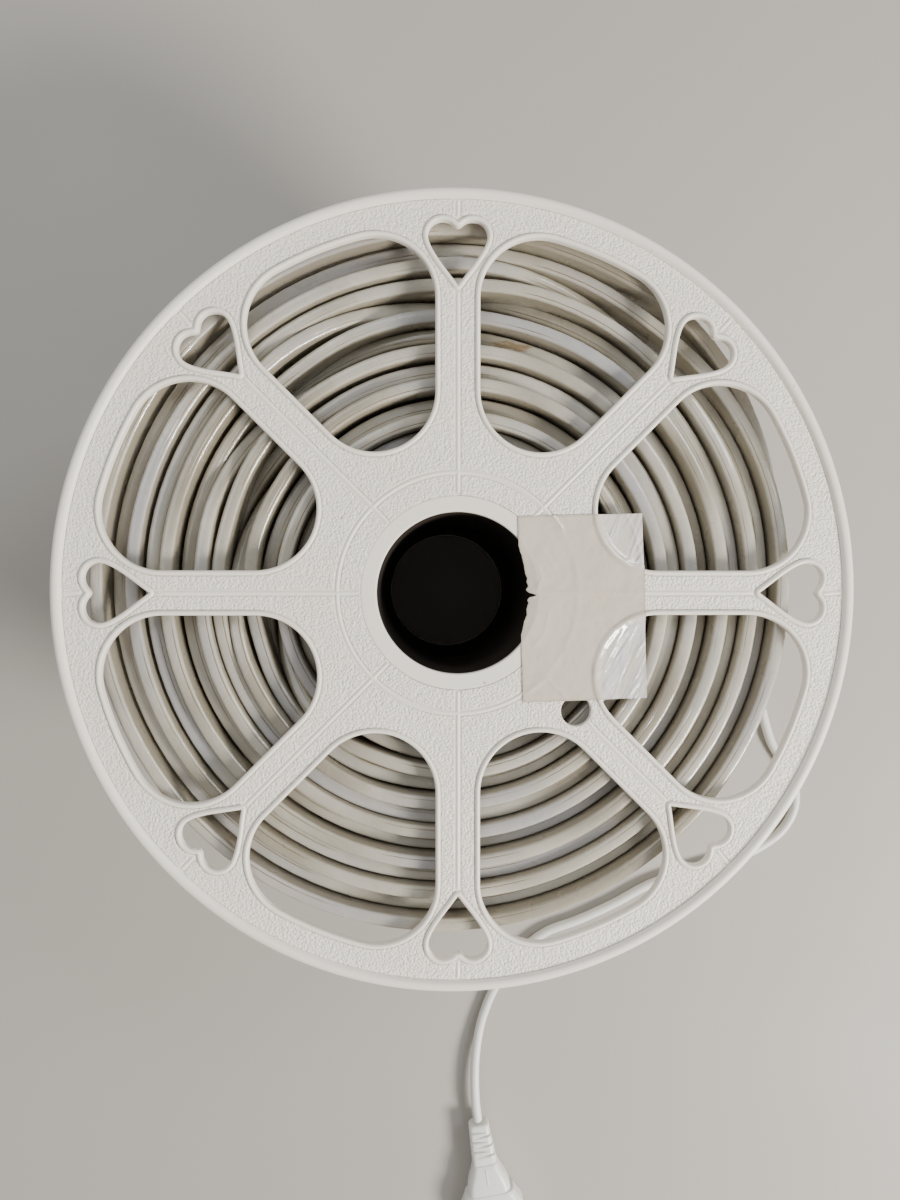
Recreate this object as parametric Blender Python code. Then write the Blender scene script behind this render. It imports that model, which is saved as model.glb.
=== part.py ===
"""A 50 m LED strip light wound on its moulded reel, with its mains lead and plug.

The reel lies flat on its back flange. Metres, +Z up along the reel's axis, origin where
the axis meets the surface that the reel lies on.
"""
import math

import bmesh
import bpy
from mathutils import Matrix, Vector

# Gap that touching pieces keep, and how far a cutter runs past the face that it opens
FIT = 0.0003
OVERSHOOT = 0.001

# Reel flanges, one moulding used twice
FLANGE_RADIUS = 0.150
REEL_WIDTH = 0.158
PLATE_THICKNESS = 0.0025
RIM_WIDTH = 0.0043
RIM_STAND = 0.0015
BORE_RADIUS = 0.0303
SPOKE_COUNT = 8
SPOKE_WIDTH = 0.0167
WINDOW_RIM_MARGIN = 0.0142
WINDOW_CORNER_RADIUS = 0.022
WINDOW_INNER_CORNER_RADIUS = 0.0228
HEART_RIM_MARGIN = 0.0122
HEART_LENGTH = 0.0238
HEART_WIDTH = 0.0222
HEART_NOTCH_DEPTH = 0.0025
KEY_HOLE_RADIUS = 0.00565
KEY_HOLE_PLACE = 0.0628
KEY_HOLE_SPOKE = 1
LIP_HEIGHT = 0.004
LIP_WIDTH = 0.0025

# Dark core that the flanges close
CORE_WALL = 0.003
DRUM_RADIUS = 0.0573
WEB_THICKNESS = 0.003

# Wound strip: each layer ends short of the highest by its own drop, innermost layer first, and
# the layers lean to one side more and more towards the outermost, whose turns lie side by side
LAYER_DROPS = (0.0035, 0.0010, 0.0042, 0.0005, 0.0025, 0.0012,
               0.0050, 0.0008, 0.0030, 0.0015, 0.0045, 0.0)
OUTER_TURNS = 9
WINDING_RIM_MARGIN = 0.0154
WINDING_END_GAP = 0.002
WINDING_LEAN = 0.0071
WINDING_LEAN_ANGLE = math.radians(135)
LAYER_GAP = 0.0014
LAYER_GAP_DEPTH = 0.0045
TURN_GROOVE = 0.0009

# Sticker on the front flange, cut away along the bore
LABEL_WIDTH = 0.047
LABEL_HEIGHT = 0.0695
LABEL_THICKNESS = 0.0003
LABEL_PLACE = (0.0469, -0.0056)
LABEL_TURN = math.radians(1.7)
LABEL_BORE_OVERHANG = 0.0005

# Feed connector at the strip's outer end, and the relief that the lead leaves through
CONNECTOR_LENGTH = 0.048
CONNECTOR_HEIGHT = 0.0175
CONNECTOR_DEPTH = 0.0088
CONNECTOR_END_ANGLE = math.radians(25)
CONNECTOR_BEVEL = 0.0012
RELIEF_LENGTH = 0.024
RELIEF_BASE_RADIUS = 0.0042
RELIEF_TIP_RADIUS = 0.0035

# Mains lead, its route points a few diameters apart
CORD_DIAMETER = 0.005
CORD_STEP_DIAMETERS = 2.6
CORD_SIDES_RESOLUTION = 3

# Flat two-pin plug, widths from its neck to its front
PLUG_LENGTH = 0.037
PLUG_WIDTH = 0.0353
PLUG_HEIGHT = 0.0137
PLUG_NECK_WIDTH = 0.0145
PLUG_SHOULDER_WIDTH = 0.0240
PLUG_SHOULDER_LENGTH = 0.0160
PLUG_COLLAR_WIDTH = 0.0275
PLUG_COLLAR_FLARE = 0.0080
PLUG_CORNER = 0.0018
PLUG_BEVEL = 0.0022
PLUG_TURN = math.radians(9.4)
PLUG_RELIEF_LENGTH = 0.0215
PLUG_RELIEF_START = (0.0110, 0.0090)
PLUG_RELIEF_END = (0.0138, 0.0112)
PLUG_RELIEF_BEVEL = 0.0020
PIN_DIAMETER = 0.004
PIN_LENGTH = 0.019
PIN_SPACING = 0.0186
PIN_ROOT = 0.006

# Facets
RIM_SEGMENTS = 80
WINDING_SEGMENTS = 44
CORE_SEGMENTS = 48
KEY_HOLE_SEGMENTS = 16
CONE_SEGMENTS = 16
PIN_SEGMENTS = 12
CURVE_STEPS = 24

# Sizes that follow from those above
SPOKE_HALF_ANGLE = math.pi / SPOKE_COUNT
FLANGE_THICKNESS = RIM_STAND + PLATE_THICKNESS
INNER_WIDTH = REEL_WIDTH - 2 * FLANGE_THICKNESS
WINDOW_OUTER_RADIUS = FLANGE_RADIUS - WINDOW_RIM_MARGIN
HEART_TOP_RADIUS = FLANGE_RADIUS - HEART_RIM_MARGIN
CORE_BORE_RADIUS = BORE_RADIUS + FIT
WINDING_INNER_RADIUS = DRUM_RADIUS + FIT
WINDING_OUTER_RADIUS = FLANGE_RADIUS - WINDING_RIM_MARGIN
WINDING_LENGTH = INNER_WIDTH - 2 * WINDING_END_GAP
LAYER_PITCH = (WINDING_OUTER_RADIUS - WINDING_INNER_RADIUS) / len(LAYER_DROPS)
CORD_RADIUS = CORD_DIAMETER / 2
CONNECTOR_RADIUS = WINDING_OUTER_RADIUS + FIT + CONNECTOR_DEPTH / 2
CONNECTOR_LEVEL = FLANGE_THICKNESS + WINDING_END_GAP + CONNECTOR_HEIGHT / 2
PLUG_LEVEL = PLUG_HEIGHT / 2
PLUG_DIRECTION = Vector((math.sin(PLUG_TURN), -math.cos(PLUG_TURN), 0.0))

# Route of the lead, from the connector's relief to the plug's, chosen by hand
CORD_ROUTE = (
    (0.13665, 0.03657, 0.01475),
    (0.1398, 0.0299, 0.0146),
    (0.1432, 0.0226, 0.0137),
    (0.1465, 0.0154, 0.0118),
    (0.1499, 0.0081, 0.0092),
    (0.1525, 0.0027, 0.0070),
    (0.1558, -0.0046, 0.0047),
    (0.1592, -0.0118, 0.0032),
    (0.1628, -0.0195, 0.0026),
    (0.1688, -0.0340, 0.0026),
    (0.1762, -0.0590, 0.0026),
    (0.1835, -0.0850, 0.0026),
    (0.1925, -0.1005, 0.0026),
    (0.1978, -0.1130, 0.0026),
    (0.1970, -0.1255, 0.0026),
    (0.1900, -0.1370, 0.0026),
    (0.1785, -0.1455, 0.0026),
    (0.1660, -0.1510, 0.0026),
    (0.1400, -0.1580, 0.0026),
    (0.1150, -0.1665, 0.0026),
    (0.0950, -0.1770, 0.0026),
    (0.0750, -0.1860, 0.0026),
    (0.0550, -0.1935, 0.0026),
    (0.0400, -0.2060, 0.0026),
    (0.0280, -0.2225, 0.0026),
    (0.0210, -0.2385, 0.0028),
    (0.0176, -0.2520, 0.0038),
    (0.0160, -0.2650, 0.0053),
    (0.0158, -0.2780, 0.0064),
    (0.0164, -0.2885, 0.0068),
    (0.0176, -0.2974, 0.00685),
)


def clear_scene():
    for item in list(bpy.data.objects):
        bpy.data.objects.remove(item, do_unlink=True)


def material(name, colour, roughness, metallic=0.0):
    """A plain Principled material."""
    made = bpy.data.materials.new(name)
    made.use_nodes = True
    shader = made.node_tree.nodes["Principled BSDF"]
    shader.inputs["Base Color"].default_value = (*colour, 1.0)
    shader.inputs["Roughness"].default_value = roughness
    shader.inputs["Metallic"].default_value = metallic
    return made


def add_object(name, work, finish=None, smooth_angle=None):
    """Turns a bmesh into a named object, its faces pointing out."""
    mesh = bpy.data.meshes.new(name)
    bmesh.ops.recalc_face_normals(work, faces=work.faces)
    work.to_mesh(mesh)
    work.free()
    if smooth_angle is not None:
        mesh.shade_smooth()
        mesh.set_sharp_from_angle(angle=math.radians(smooth_angle))
    if finish is not None:
        mesh.materials.append(finish)
    made = bpy.data.objects.new(name, mesh)
    bpy.context.collection.objects.link(made)
    return made


def make_cutter(item):
    """Marks an object as a cutter, which is not a piece of the model."""
    item.hide_render = True
    item.display_type = "WIRE"


def cut_with(item, cutter, name):
    """Takes the cutter's shape out of an object."""
    modifier = item.modifiers.new(name, "BOOLEAN")
    modifier.operation = "DIFFERENCE"
    modifier.object = cutter


def bevel_edges(item, width, segments, angle):
    """Rounds the edges that are sharper than an angle in degrees."""
    modifier = item.modifiers.new("rounded edges", "BEVEL")
    modifier.width = width
    modifier.segments = segments
    modifier.limit_method = "ANGLE"
    modifier.angle_limit = math.radians(angle)


def turned(profile, segments):
    """A closed ring: a closed profile of (radius, height) points spun about the Z axis."""
    work = bmesh.new()
    points = [work.verts.new((radius, 0.0, height)) for radius, height in profile]
    edges = [work.edges.new((points[k - 1], points[k])) for k in range(len(points))]
    bmesh.ops.spin(work, geom=points + edges, cent=(0, 0, 0), axis=(0, 0, 1), dvec=(0, 0, 0),
                   angle=2 * math.pi, steps=segments, use_merge=True)
    bmesh.ops.remove_doubles(work, verts=work.verts, dist=FIT / 100)
    return work


def add_prism(work, outline, low, high, place=Matrix.Identity(4)):
    """Extrudes a flat outline between two heights, then moves it by a matrix."""
    base = work.faces.new([work.verts.new((x, y, low)) for x, y in outline])
    lifted = bmesh.ops.extrude_face_region(work, geom=[base], use_keep_orig=True)["geom"]
    upper = [item for item in lifted if isinstance(item, bmesh.types.BMVert)]
    bmesh.ops.translate(work, verts=upper, vec=(0, 0, high - low))
    bmesh.ops.transform(work, matrix=place, verts=list(base.verts) + upper)


def arc(centre, radius, start, end, steps):
    """Points along an arc, both ends included."""
    points = []
    for k in range(steps + 1):
        angle = start + (end - start) * k / steps
        points.append((centre[0] + radius * math.cos(angle), centre[1] + radius * math.sin(angle)))
    return points


def mirrored(half):
    """A half outline that starts and ends on the X axis, closed by its mirror image."""
    return half + [(x, -y) for x, y in reversed(half[1:-1])]


def window_outline():
    """A spoke window along +X: outer arc, round outer corners, straight sides, round inner end."""
    side = SPOKE_HALF_ANGLE + math.pi / 2
    half_spoke = SPOKE_WIDTH / 2
    corner_reach = WINDOW_OUTER_RADIUS - WINDOW_CORNER_RADIUS
    corner_angle = SPOKE_HALF_ANGLE - math.asin((half_spoke + WINDOW_CORNER_RADIUS) / corner_reach)
    corner = (corner_reach * math.cos(corner_angle), corner_reach * math.sin(corner_angle))
    inner_reach = (half_spoke + WINDOW_INNER_CORNER_RADIUS) / math.sin(SPOKE_HALF_ANGLE)
    outer_arc = arc((0, 0), WINDOW_OUTER_RADIUS, 0, corner_angle, 2)
    corner_arc = arc(corner, WINDOW_CORNER_RADIUS, corner_angle, side, 7)
    inner_arc = arc((inner_reach, 0), WINDOW_INNER_CORNER_RADIUS, side, math.pi, 5)
    return mirrored(outer_arc + corner_arc[1:] + inner_arc)


def heart_outline():
    """A heart along +X whose tip points at the axis: two round lobes and two bowed flanks."""
    half_width = HEART_WIDTH / 2
    lobe = half_width / 2
    lobe_centre = (HEART_TOP_RADIUS - lobe, half_width - lobe)
    notch = (HEART_TOP_RADIUS - HEART_NOTCH_DEPTH, 0.0)
    tip = (HEART_TOP_RADIUS - HEART_LENGTH, 0.0)
    lobe_arc = arc(lobe_centre, lobe, -math.radians(50), math.pi / 2, 6)
    flank_start = lobe_arc[-1]
    flank_reach = flank_start[0] - tip[0]
    first_pull = (flank_start[0] - flank_reach * 0.27, half_width)
    last_pull = (tip[0] + flank_reach * 0.28, half_width * 0.31)
    flank = []
    for k in (1, 2, 3):
        t = k / 4
        weights = ((1 - t) ** 3, 3 * (1 - t) ** 2 * t, 3 * (1 - t) * t * t, t ** 3)
        ends = (flank_start, first_pull, last_pull, tip)
        flank.append(tuple(sum(w * point[axis] for w, point in zip(weights, ends)) for axis in (0, 1)))
    return mirrored([notch] + lobe_arc + flank + [tip])


def flange_holes(name):
    """Every window, heart and key hole through the plate, as one cutter."""
    work = bmesh.new()
    low = -OVERSHOOT
    high = FLANGE_THICKNESS + OVERSHOOT
    window = window_outline()
    heart = heart_outline()
    for k in range(SPOKE_COUNT):
        spoke = Matrix.Rotation(2 * SPOKE_HALF_ANGLE * k, 4, "Z")
        between = Matrix.Rotation(2 * SPOKE_HALF_ANGLE * (k + 0.5), 4, "Z")
        add_prism(work, window, low, high, between)
        add_prism(work, heart, low, high, spoke)
    key_turn = Matrix.Rotation(2 * SPOKE_HALF_ANGLE * KEY_HOLE_SPOKE, 4, "Z")
    key_hole = arc((KEY_HOLE_PLACE, 0), KEY_HOLE_RADIUS, 0, 2 * math.pi, KEY_HOLE_SEGMENTS)[:-1]
    add_prism(work, key_hole, low, high, key_turn)
    cutter = add_object(name, work)
    make_cutter(cutter)
    return cutter


def add_flange(name, finish, front):
    """A flange, modelled outer face down with its rim at height 0, then set in its place."""
    rim_inner = FLANGE_RADIUS - RIM_WIDTH
    rim_round = RIM_STAND / 2
    lip_outer = DRUM_RADIUS - CORE_WALL - FIT
    lip_inner = lip_outer - LIP_WIDTH
    lip_end = FLANGE_THICKNESS + LIP_HEIGHT
    profile = [
        (BORE_RADIUS, RIM_STAND),
        (rim_inner, RIM_STAND),
        (rim_inner + rim_round, 0.0),
        (FLANGE_RADIUS - rim_round, 0.0),
        (FLANGE_RADIUS, rim_round),
        (FLANGE_RADIUS, FLANGE_THICKNESS),
        (lip_outer, FLANGE_THICKNESS),
        (lip_outer, lip_end),
        (lip_inner, lip_end),
        (lip_inner, FLANGE_THICKNESS),
        (BORE_RADIUS, FLANGE_THICKNESS),
    ]
    flange = add_object(name, turned(profile, RIM_SEGMENTS), finish, smooth_angle=30)
    holes = flange_holes(name + "_holes")
    cut_with(flange, holes, "windows and hearts")
    if front:
        # turned over about the spoke that runs along +X, so its outer face looks up
        for item in (flange, holes):
            item.rotation_euler = (math.pi, 0.0, 0.0)
            item.location = (0.0, 0.0, REEL_WIDTH)


def add_core(finish):
    """The dark moulded core: a bore tube and a drum, joined half way along by a web."""
    low = FLANGE_THICKNESS + FIT
    high = REEL_WIDTH - FLANGE_THICKNESS - FIT
    web_low = (REEL_WIDTH - WEB_THICKNESS) / 2
    web_high = web_low + WEB_THICKNESS
    tube = CORE_BORE_RADIUS + CORE_WALL
    drum = DRUM_RADIUS - CORE_WALL
    profile = [
        (CORE_BORE_RADIUS, low),
        (tube, low),
        (tube, web_low),
        (drum, web_low),
        (drum, low),
        (DRUM_RADIUS, low),
        (DRUM_RADIUS, high),
        (drum, high),
        (drum, web_high),
        (tube, web_high),
        (tube, high),
        (CORE_BORE_RADIUS, high),
    ]
    add_object("reel_core", turned(profile, CORE_SEGMENTS), finish, smooth_angle=30)


def add_winding(finish):
    """The wound strip: one turned ring, its layers stepped on both ends, its turns outside."""
    low = FLANGE_THICKNESS + WINDING_END_GAP
    high = low + WINDING_LENGTH
    half_gap = LAYER_GAP / 2
    front = []
    for k, drop in enumerate(LAYER_DROPS):
        inner = WINDING_INNER_RADIUS + k * LAYER_PITCH
        lower_neighbour = max(drop, LAYER_DROPS[max(k - 1, 0)])
        front.append((inner, lower_neighbour + LAYER_GAP_DEPTH))
        front.append((inner + half_gap, drop))
        front.append((inner + LAYER_PITCH - half_gap, drop))
    front.append((WINDING_OUTER_RADIUS, LAYER_DROPS[-1] + half_gap))
    profile = [(radius, low + drop) for radius, drop in front]
    for k in range(1, OUTER_TURNS):
        groove = low + k * WINDING_LENGTH / OUTER_TURNS
        profile.append((WINDING_OUTER_RADIUS, groove - TURN_GROOVE))
        profile.append((WINDING_OUTER_RADIUS - TURN_GROOVE, groove))
        profile.append((WINDING_OUTER_RADIUS, groove + TURN_GROOVE))
    profile += [(radius, high - drop) for radius, drop in reversed(front)]
    work = turned(profile, WINDING_SEGMENTS)
    lean = Vector((math.cos(WINDING_LEAN_ANGLE), math.sin(WINDING_LEAN_ANGLE), 0.0)) * WINDING_LEAN
    depth = WINDING_OUTER_RADIUS - WINDING_INNER_RADIUS
    for vert in work.verts:
        vert.co += lean * ((vert.co.to_2d().length - WINDING_INNER_RADIUS) / depth)
    add_object("led_strip_coil", work, finish, smooth_angle=25)


def add_label(finish):
    """The sticker, flat on the plate, cut away along the bore that it would cover."""
    half_width = LABEL_WIDTH / 2
    half_height = LABEL_HEIGHT / 2
    place = Matrix.Translation((*LABEL_PLACE, 0.0)) @ Matrix.Rotation(LABEL_TURN, 4, "Z")
    corners = ((half_width, -half_height), (half_width, half_height),
               (-half_width, half_height), (-half_width, -half_height))
    outline = [(place @ Vector((x, y, 0.0))).to_2d() for x, y in corners]
    cut_radius = BORE_RADIUS - LABEL_BORE_OVERHANG
    cut_half_angle = math.acos((LABEL_PLACE[0] - half_width) / cut_radius) * 0.93
    outline[3:3] = arc((0, 0), cut_radius, cut_half_angle, -cut_half_angle, 6)
    low = REEL_WIDTH - RIM_STAND + FIT
    work = bmesh.new()
    add_prism(work, outline, low, low + LABEL_THICKNESS)
    add_object("label", work, finish)


def add_connector(finish):
    """The feed connector, curved to lie on the outermost turn of the strip."""
    inner = WINDING_OUTER_RADIUS + FIT
    outer = inner + CONNECTOR_DEPTH
    start = CONNECTOR_END_ANGLE + CONNECTOR_LENGTH / CONNECTOR_RADIUS
    outline = arc((0, 0), outer, CONNECTOR_END_ANGLE, start, 6)
    outline += arc((0, 0), inner, start, CONNECTOR_END_ANGLE, 6)
    low = CONNECTOR_LEVEL - CONNECTOR_HEIGHT / 2
    work = bmesh.new()
    add_prism(work, outline, low, low + CONNECTOR_HEIGHT)
    made = add_object("feed_connector", work, finish)
    bevel_edges(made, CONNECTOR_BEVEL, 1, 40)


def add_connector_relief(finish):
    """The tapered relief that carries the lead out of the connector's end face."""
    turn = CONNECTOR_END_ANGLE
    face = Vector((CONNECTOR_RADIUS * math.cos(turn), CONNECTOR_RADIUS * math.sin(turn), CONNECTOR_LEVEL))
    away = Vector((math.sin(turn), -math.cos(turn), 0.0))
    centre = face + away * (FIT + RELIEF_LENGTH / 2)
    work = bmesh.new()
    bmesh.ops.create_cone(work, cap_ends=True, segments=CONE_SEGMENTS, radius1=RELIEF_BASE_RADIUS,
                          radius2=RELIEF_TIP_RADIUS, depth=RELIEF_LENGTH)
    made = add_object("cord_strain_relief", work, finish, smooth_angle=40)
    made.location = centre
    made.rotation_euler = away.to_track_quat("Z", "Y").to_euler()


def smooth_route(route, spacing):
    """Evenly spaced points on a Catmull-Rom curve through the route."""
    points = [Vector(place) for place in route]
    points = [2 * points[0] - points[1]] + points + [2 * points[-1] - points[-2]]
    fine = []
    for k in range(1, len(points) - 2):
        a, b, c, d = points[k - 1:k + 3]
        for step in range(CURVE_STEPS):
            t = step / CURVE_STEPS
            straight = 2 * b + (c - a) * t
            bent = (2 * a - 5 * b + 4 * c - d) * t ** 2 + (3 * b - 3 * c + d - a) * t ** 3
            fine.append((straight + bent) / 2)
    fine.append(points[-2])
    lengths = [0.0]
    for here, there in zip(fine, fine[1:]):
        lengths.append(lengths[-1] + (there - here).length)
    count = max(2, round(lengths[-1] / spacing))
    even = []
    place = 0
    for k in range(count + 1):
        wanted = lengths[-1] * k / count
        while place < len(lengths) - 2 and lengths[place + 1] < wanted:
            place += 1
        share = (wanted - lengths[place]) / (lengths[place + 1] - lengths[place])
        even.append(fine[place].lerp(fine[place + 1], share))
    return even


def add_cord(finish):
    """The mains lead, a round tube along its route."""
    curve = bpy.data.curves.new("power_cord", "CURVE")
    curve.dimensions = "3D"
    curve.bevel_depth = CORD_RADIUS
    curve.bevel_resolution = CORD_SIDES_RESOLUTION
    curve.use_fill_caps = True
    points = smooth_route(CORD_ROUTE, CORD_STEP_DIAMETERS * CORD_DIAMETER)
    line = curve.splines.new("POLY")
    line.points.add(len(points) - 1)
    for slot, point in zip(line.points, points):
        slot.co = (*point, 1.0)
    curve.materials.append(finish)
    bpy.context.collection.objects.link(bpy.data.objects.new("power_cord", curve))


def plug_place(distance, level):
    """A frame on the plug's centre line, +X along the pins, at a distance past the lead's end."""
    forward = PLUG_DIRECTION
    side = Vector((0, 0, 1)).cross(forward)
    turn = Matrix((forward, side, Vector((0, 0, 1)))).transposed().to_4x4()
    point = Vector(CORD_ROUTE[-1]) + forward * distance
    return Matrix.Translation((point.x, point.y, level)) @ turn


def add_plug_relief(finish):
    """The tapered square relief between the lead and the plug's neck."""
    work = bmesh.new()
    rings = []
    for x, (width, height) in ((0.0, PLUG_RELIEF_START), (PLUG_RELIEF_LENGTH, PLUG_RELIEF_END)):
        corners = ((1, 1), (-1, 1), (-1, -1), (1, -1))
        rings.append([work.verts.new((x, a * width / 2, b * height / 2)) for a, b in corners])
    for ring in rings:
        work.faces.new(ring)
    for k in range(4):
        work.faces.new((rings[0][k - 1], rings[0][k], rings[1][k], rings[1][k - 1]))
    made = add_object("plug_strain_relief", work, finish, smooth_angle=50)
    made.matrix_world = plug_place(FIT, PLUG_LEVEL)
    bevel_edges(made, PLUG_RELIEF_BEVEL, 2, 60)


def plug_outline():
    """The plug seen from above: neck, flared shoulder, stepped collar, full width to the front."""
    collar_end = PLUG_SHOULDER_LENGTH + PLUG_COLLAR_FLARE
    half = [
        (0.0, 0.0),
        (0.0, PLUG_NECK_WIDTH / 2),
        (PLUG_SHOULDER_LENGTH * 0.35, PLUG_NECK_WIDTH / 2 + PLUG_CORNER),
        (PLUG_SHOULDER_LENGTH, PLUG_SHOULDER_WIDTH / 2),
        (PLUG_SHOULDER_LENGTH, PLUG_COLLAR_WIDTH / 2),
        (collar_end, PLUG_WIDTH / 2),
        (PLUG_LENGTH - PLUG_CORNER, PLUG_WIDTH / 2),
        (PLUG_LENGTH, PLUG_WIDTH / 2 - PLUG_CORNER),
        (PLUG_LENGTH, 0.0),
    ]
    return mirrored(half)


def add_pin_shape(work, side, root, reach, radius):
    """Adds a round pin that starts behind the plug's front face and ends before it."""
    turn = Matrix.Rotation(math.pi / 2, 4, "Y")
    middle = Matrix.Translation((PLUG_LENGTH + (reach - root) / 2, side * PIN_SPACING / 2, 0.0))
    bmesh.ops.create_cone(work, cap_ends=True, segments=PIN_SEGMENTS, radius1=radius, radius2=radius,
                          depth=root + reach, matrix=middle @ turn)


def add_plug(finish, metal):
    """The flat two-pin plug and its two round pins."""
    place = plug_place(FIT + PLUG_RELIEF_LENGTH + FIT, PLUG_LEVEL)
    work = bmesh.new()
    add_prism(work, plug_outline(), -PLUG_HEIGHT / 2, PLUG_HEIGHT / 2)
    body = add_object("plug_body", work, finish, smooth_angle=30)
    body.matrix_world = place
    bevel_edges(body, PLUG_BEVEL, 2, 60)
    work = bmesh.new()
    for side in (-1, 1):
        add_pin_shape(work, side, PIN_ROOT + FIT, OVERSHOOT, PIN_DIAMETER / 2 + FIT)
    seats = add_object("plug_pin_seats", work)
    seats.matrix_world = place
    make_cutter(seats)
    cut_with(body, seats, "pin seats")
    for side, name in ((-1, "plug_pin_left"), (1, "plug_pin_right")):
        work = bmesh.new()
        add_pin_shape(work, side, PIN_ROOT, PIN_LENGTH, PIN_DIAMETER / 2)
        pin = add_object(name, work, metal, smooth_angle=40)
        pin.matrix_world = place


def main():
    clear_scene()
    white = material("moulded white plastic", (0.80, 0.79, 0.76), 0.45)
    dark = material("dark core plastic", (0.030, 0.025, 0.022), 0.55)
    sleeve = material("off-white strip sleeve", (0.72, 0.72, 0.66), 0.28)
    film = material("glossy sticker", (0.78, 0.76, 0.71), 0.25)
    cable = material("white lead plastic", (0.80, 0.80, 0.78), 0.40)
    nickel = material("nickel plated pin", (0.75, 0.74, 0.72), 0.25, 1.0)

    add_flange("flange_back", white, front=False)
    add_flange("flange_front", white, front=True)
    add_core(dark)
    add_winding(sleeve)
    add_label(film)
    add_connector(cable)
    add_connector_relief(cable)
    add_cord(cable)
    add_plug_relief(cable)
    add_plug(cable, nickel)


main()
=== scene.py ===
"""Looks of a 50 m LED strip light on its moulded reel, with its feed connector, lead and plug.

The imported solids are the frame. Every piece is made here in metres, in the same place as the
solid that it stands for, with the reel's axis along Z and the floor at height 0.
"""
import math
import random

import bmesh
import bpy
import numpy as np
from bpy.props import FloatProperty, FloatVectorProperty, PointerProperty
from mathutils import Matrix, Vector, geometry, noise


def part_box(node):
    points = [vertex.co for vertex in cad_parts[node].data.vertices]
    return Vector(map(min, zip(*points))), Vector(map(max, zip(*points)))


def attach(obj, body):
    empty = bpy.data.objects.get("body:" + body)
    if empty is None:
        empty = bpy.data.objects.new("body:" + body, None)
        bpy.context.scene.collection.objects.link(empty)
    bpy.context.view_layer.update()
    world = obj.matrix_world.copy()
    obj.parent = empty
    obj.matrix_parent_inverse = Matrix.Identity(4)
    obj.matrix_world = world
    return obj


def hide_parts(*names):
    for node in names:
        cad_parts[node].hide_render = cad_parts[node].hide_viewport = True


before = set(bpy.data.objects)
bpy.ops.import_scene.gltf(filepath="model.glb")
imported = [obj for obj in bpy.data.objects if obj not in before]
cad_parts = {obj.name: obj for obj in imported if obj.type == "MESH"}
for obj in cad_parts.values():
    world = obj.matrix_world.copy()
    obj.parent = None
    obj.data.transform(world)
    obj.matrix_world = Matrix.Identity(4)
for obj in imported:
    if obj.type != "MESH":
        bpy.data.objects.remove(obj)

bl_info = {
    "name": "LED strip light reel",
    "version": (1, 0, 0),
    "blender": (4, 5, 0),
    "location": "View3D > Sidebar > Strip Light",
    "description": "Builds the pieces and the studio of a reel of LED strip light",
    "category": "Object",
}

MM = 0.001
UP = Vector((0, 0, 1))
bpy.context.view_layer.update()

# Reel, as in the solids: the rim top is at the reel's full width, the plate lies below it
REEL_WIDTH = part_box("flange_front")[1].z
FLANGE_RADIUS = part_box("flange_front")[1].y
RIM_STAND = 1.5 * MM
PLATE_FACE = REEL_WIDTH - RIM_STAND
PLATE_THICKNESS = 2.5 * MM
BORE_RADIUS = 30.3 * MM
SPOKE_COUNT = 8
SPOKE_HALF_ANGLE = math.pi / SPOKE_COUNT
SPOKE_WIDTH = 16.7 * MM
WINDOW_OUTER_RADIUS = FLANGE_RADIUS - 14.2 * MM
WINDOW_CORNER_RADIUS = 22.0 * MM
WINDOW_INNER_CORNER_RADIUS = 22.8 * MM
WINDOW_INNER_END = 58.5 * MM
HEART_TOP_RADIUS = FLANGE_RADIUS - 12.2 * MM
HEART_LENGTH = 23.8 * MM
HEART_WIDTH = 22.2 * MM
HEART_NOTCH_DEPTH = 2.5 * MM
HEART_LOBE_START = math.radians(50)
HEART_LOBE_PULL = 0.27
HEART_TIP_PULL = (0.28, 0.31)
KEY_HOLE_RADIUS = 5.65 * MM
KEY_HOLE_PLACE = 62.8 * MM
RING_LINE_RADIUS = 45.0 * MM
HUB_RING_RADIUS = 36.2 * MM

# Core
DRUM_RADIUS = 57.3 * MM
CORE_WALL = 3.0 * MM
CORE_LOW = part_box("reel_core")[0].z
CORE_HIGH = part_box("reel_core")[1].z
CORE_WEB = 3.0 * MM
CORE_SEGMENTS = 160

# Sticker: its size, middle and turn, and the bowed edge that is torn along the bore
LABEL_SIZE = (47.0 * MM, 69.5 * MM)
LABEL_PLACE = (46.9 * MM, -5.6 * MM)
LABEL_TURN = math.radians(1.7)
LABEL_TORN_EDGE = 25.9 * MM
LABEL_TORN_CURVE = 102.0 * MM

# Feed connector and its relief
CONNECTOR_LENGTH = 48.0 * MM
CONNECTOR_RADIUS = 139.3 * MM
CONNECTOR_LEVEL = 14.75 * MM
CONNECTOR_END_ANGLE = math.radians(25)
CONNECTOR_START_ANGLE = CONNECTOR_END_ANGLE + CONNECTOR_LENGTH / CONNECTOR_RADIUS
RELIEF_LENGTH = 24.0 * MM
FIT = 0.3 * MM

# Plug
PLUG_LENGTH = 37.0 * MM
PLUG_HEIGHT = 13.7 * MM
PLUG_TURN = math.radians(9.4)
PLUG_RELIEF_LENGTH = 21.5 * MM
PIN_LENGTH = 19.0 * MM
PIN_ROOT = 6.0 * MM
PIN_SPACING = 18.6 * MM

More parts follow.
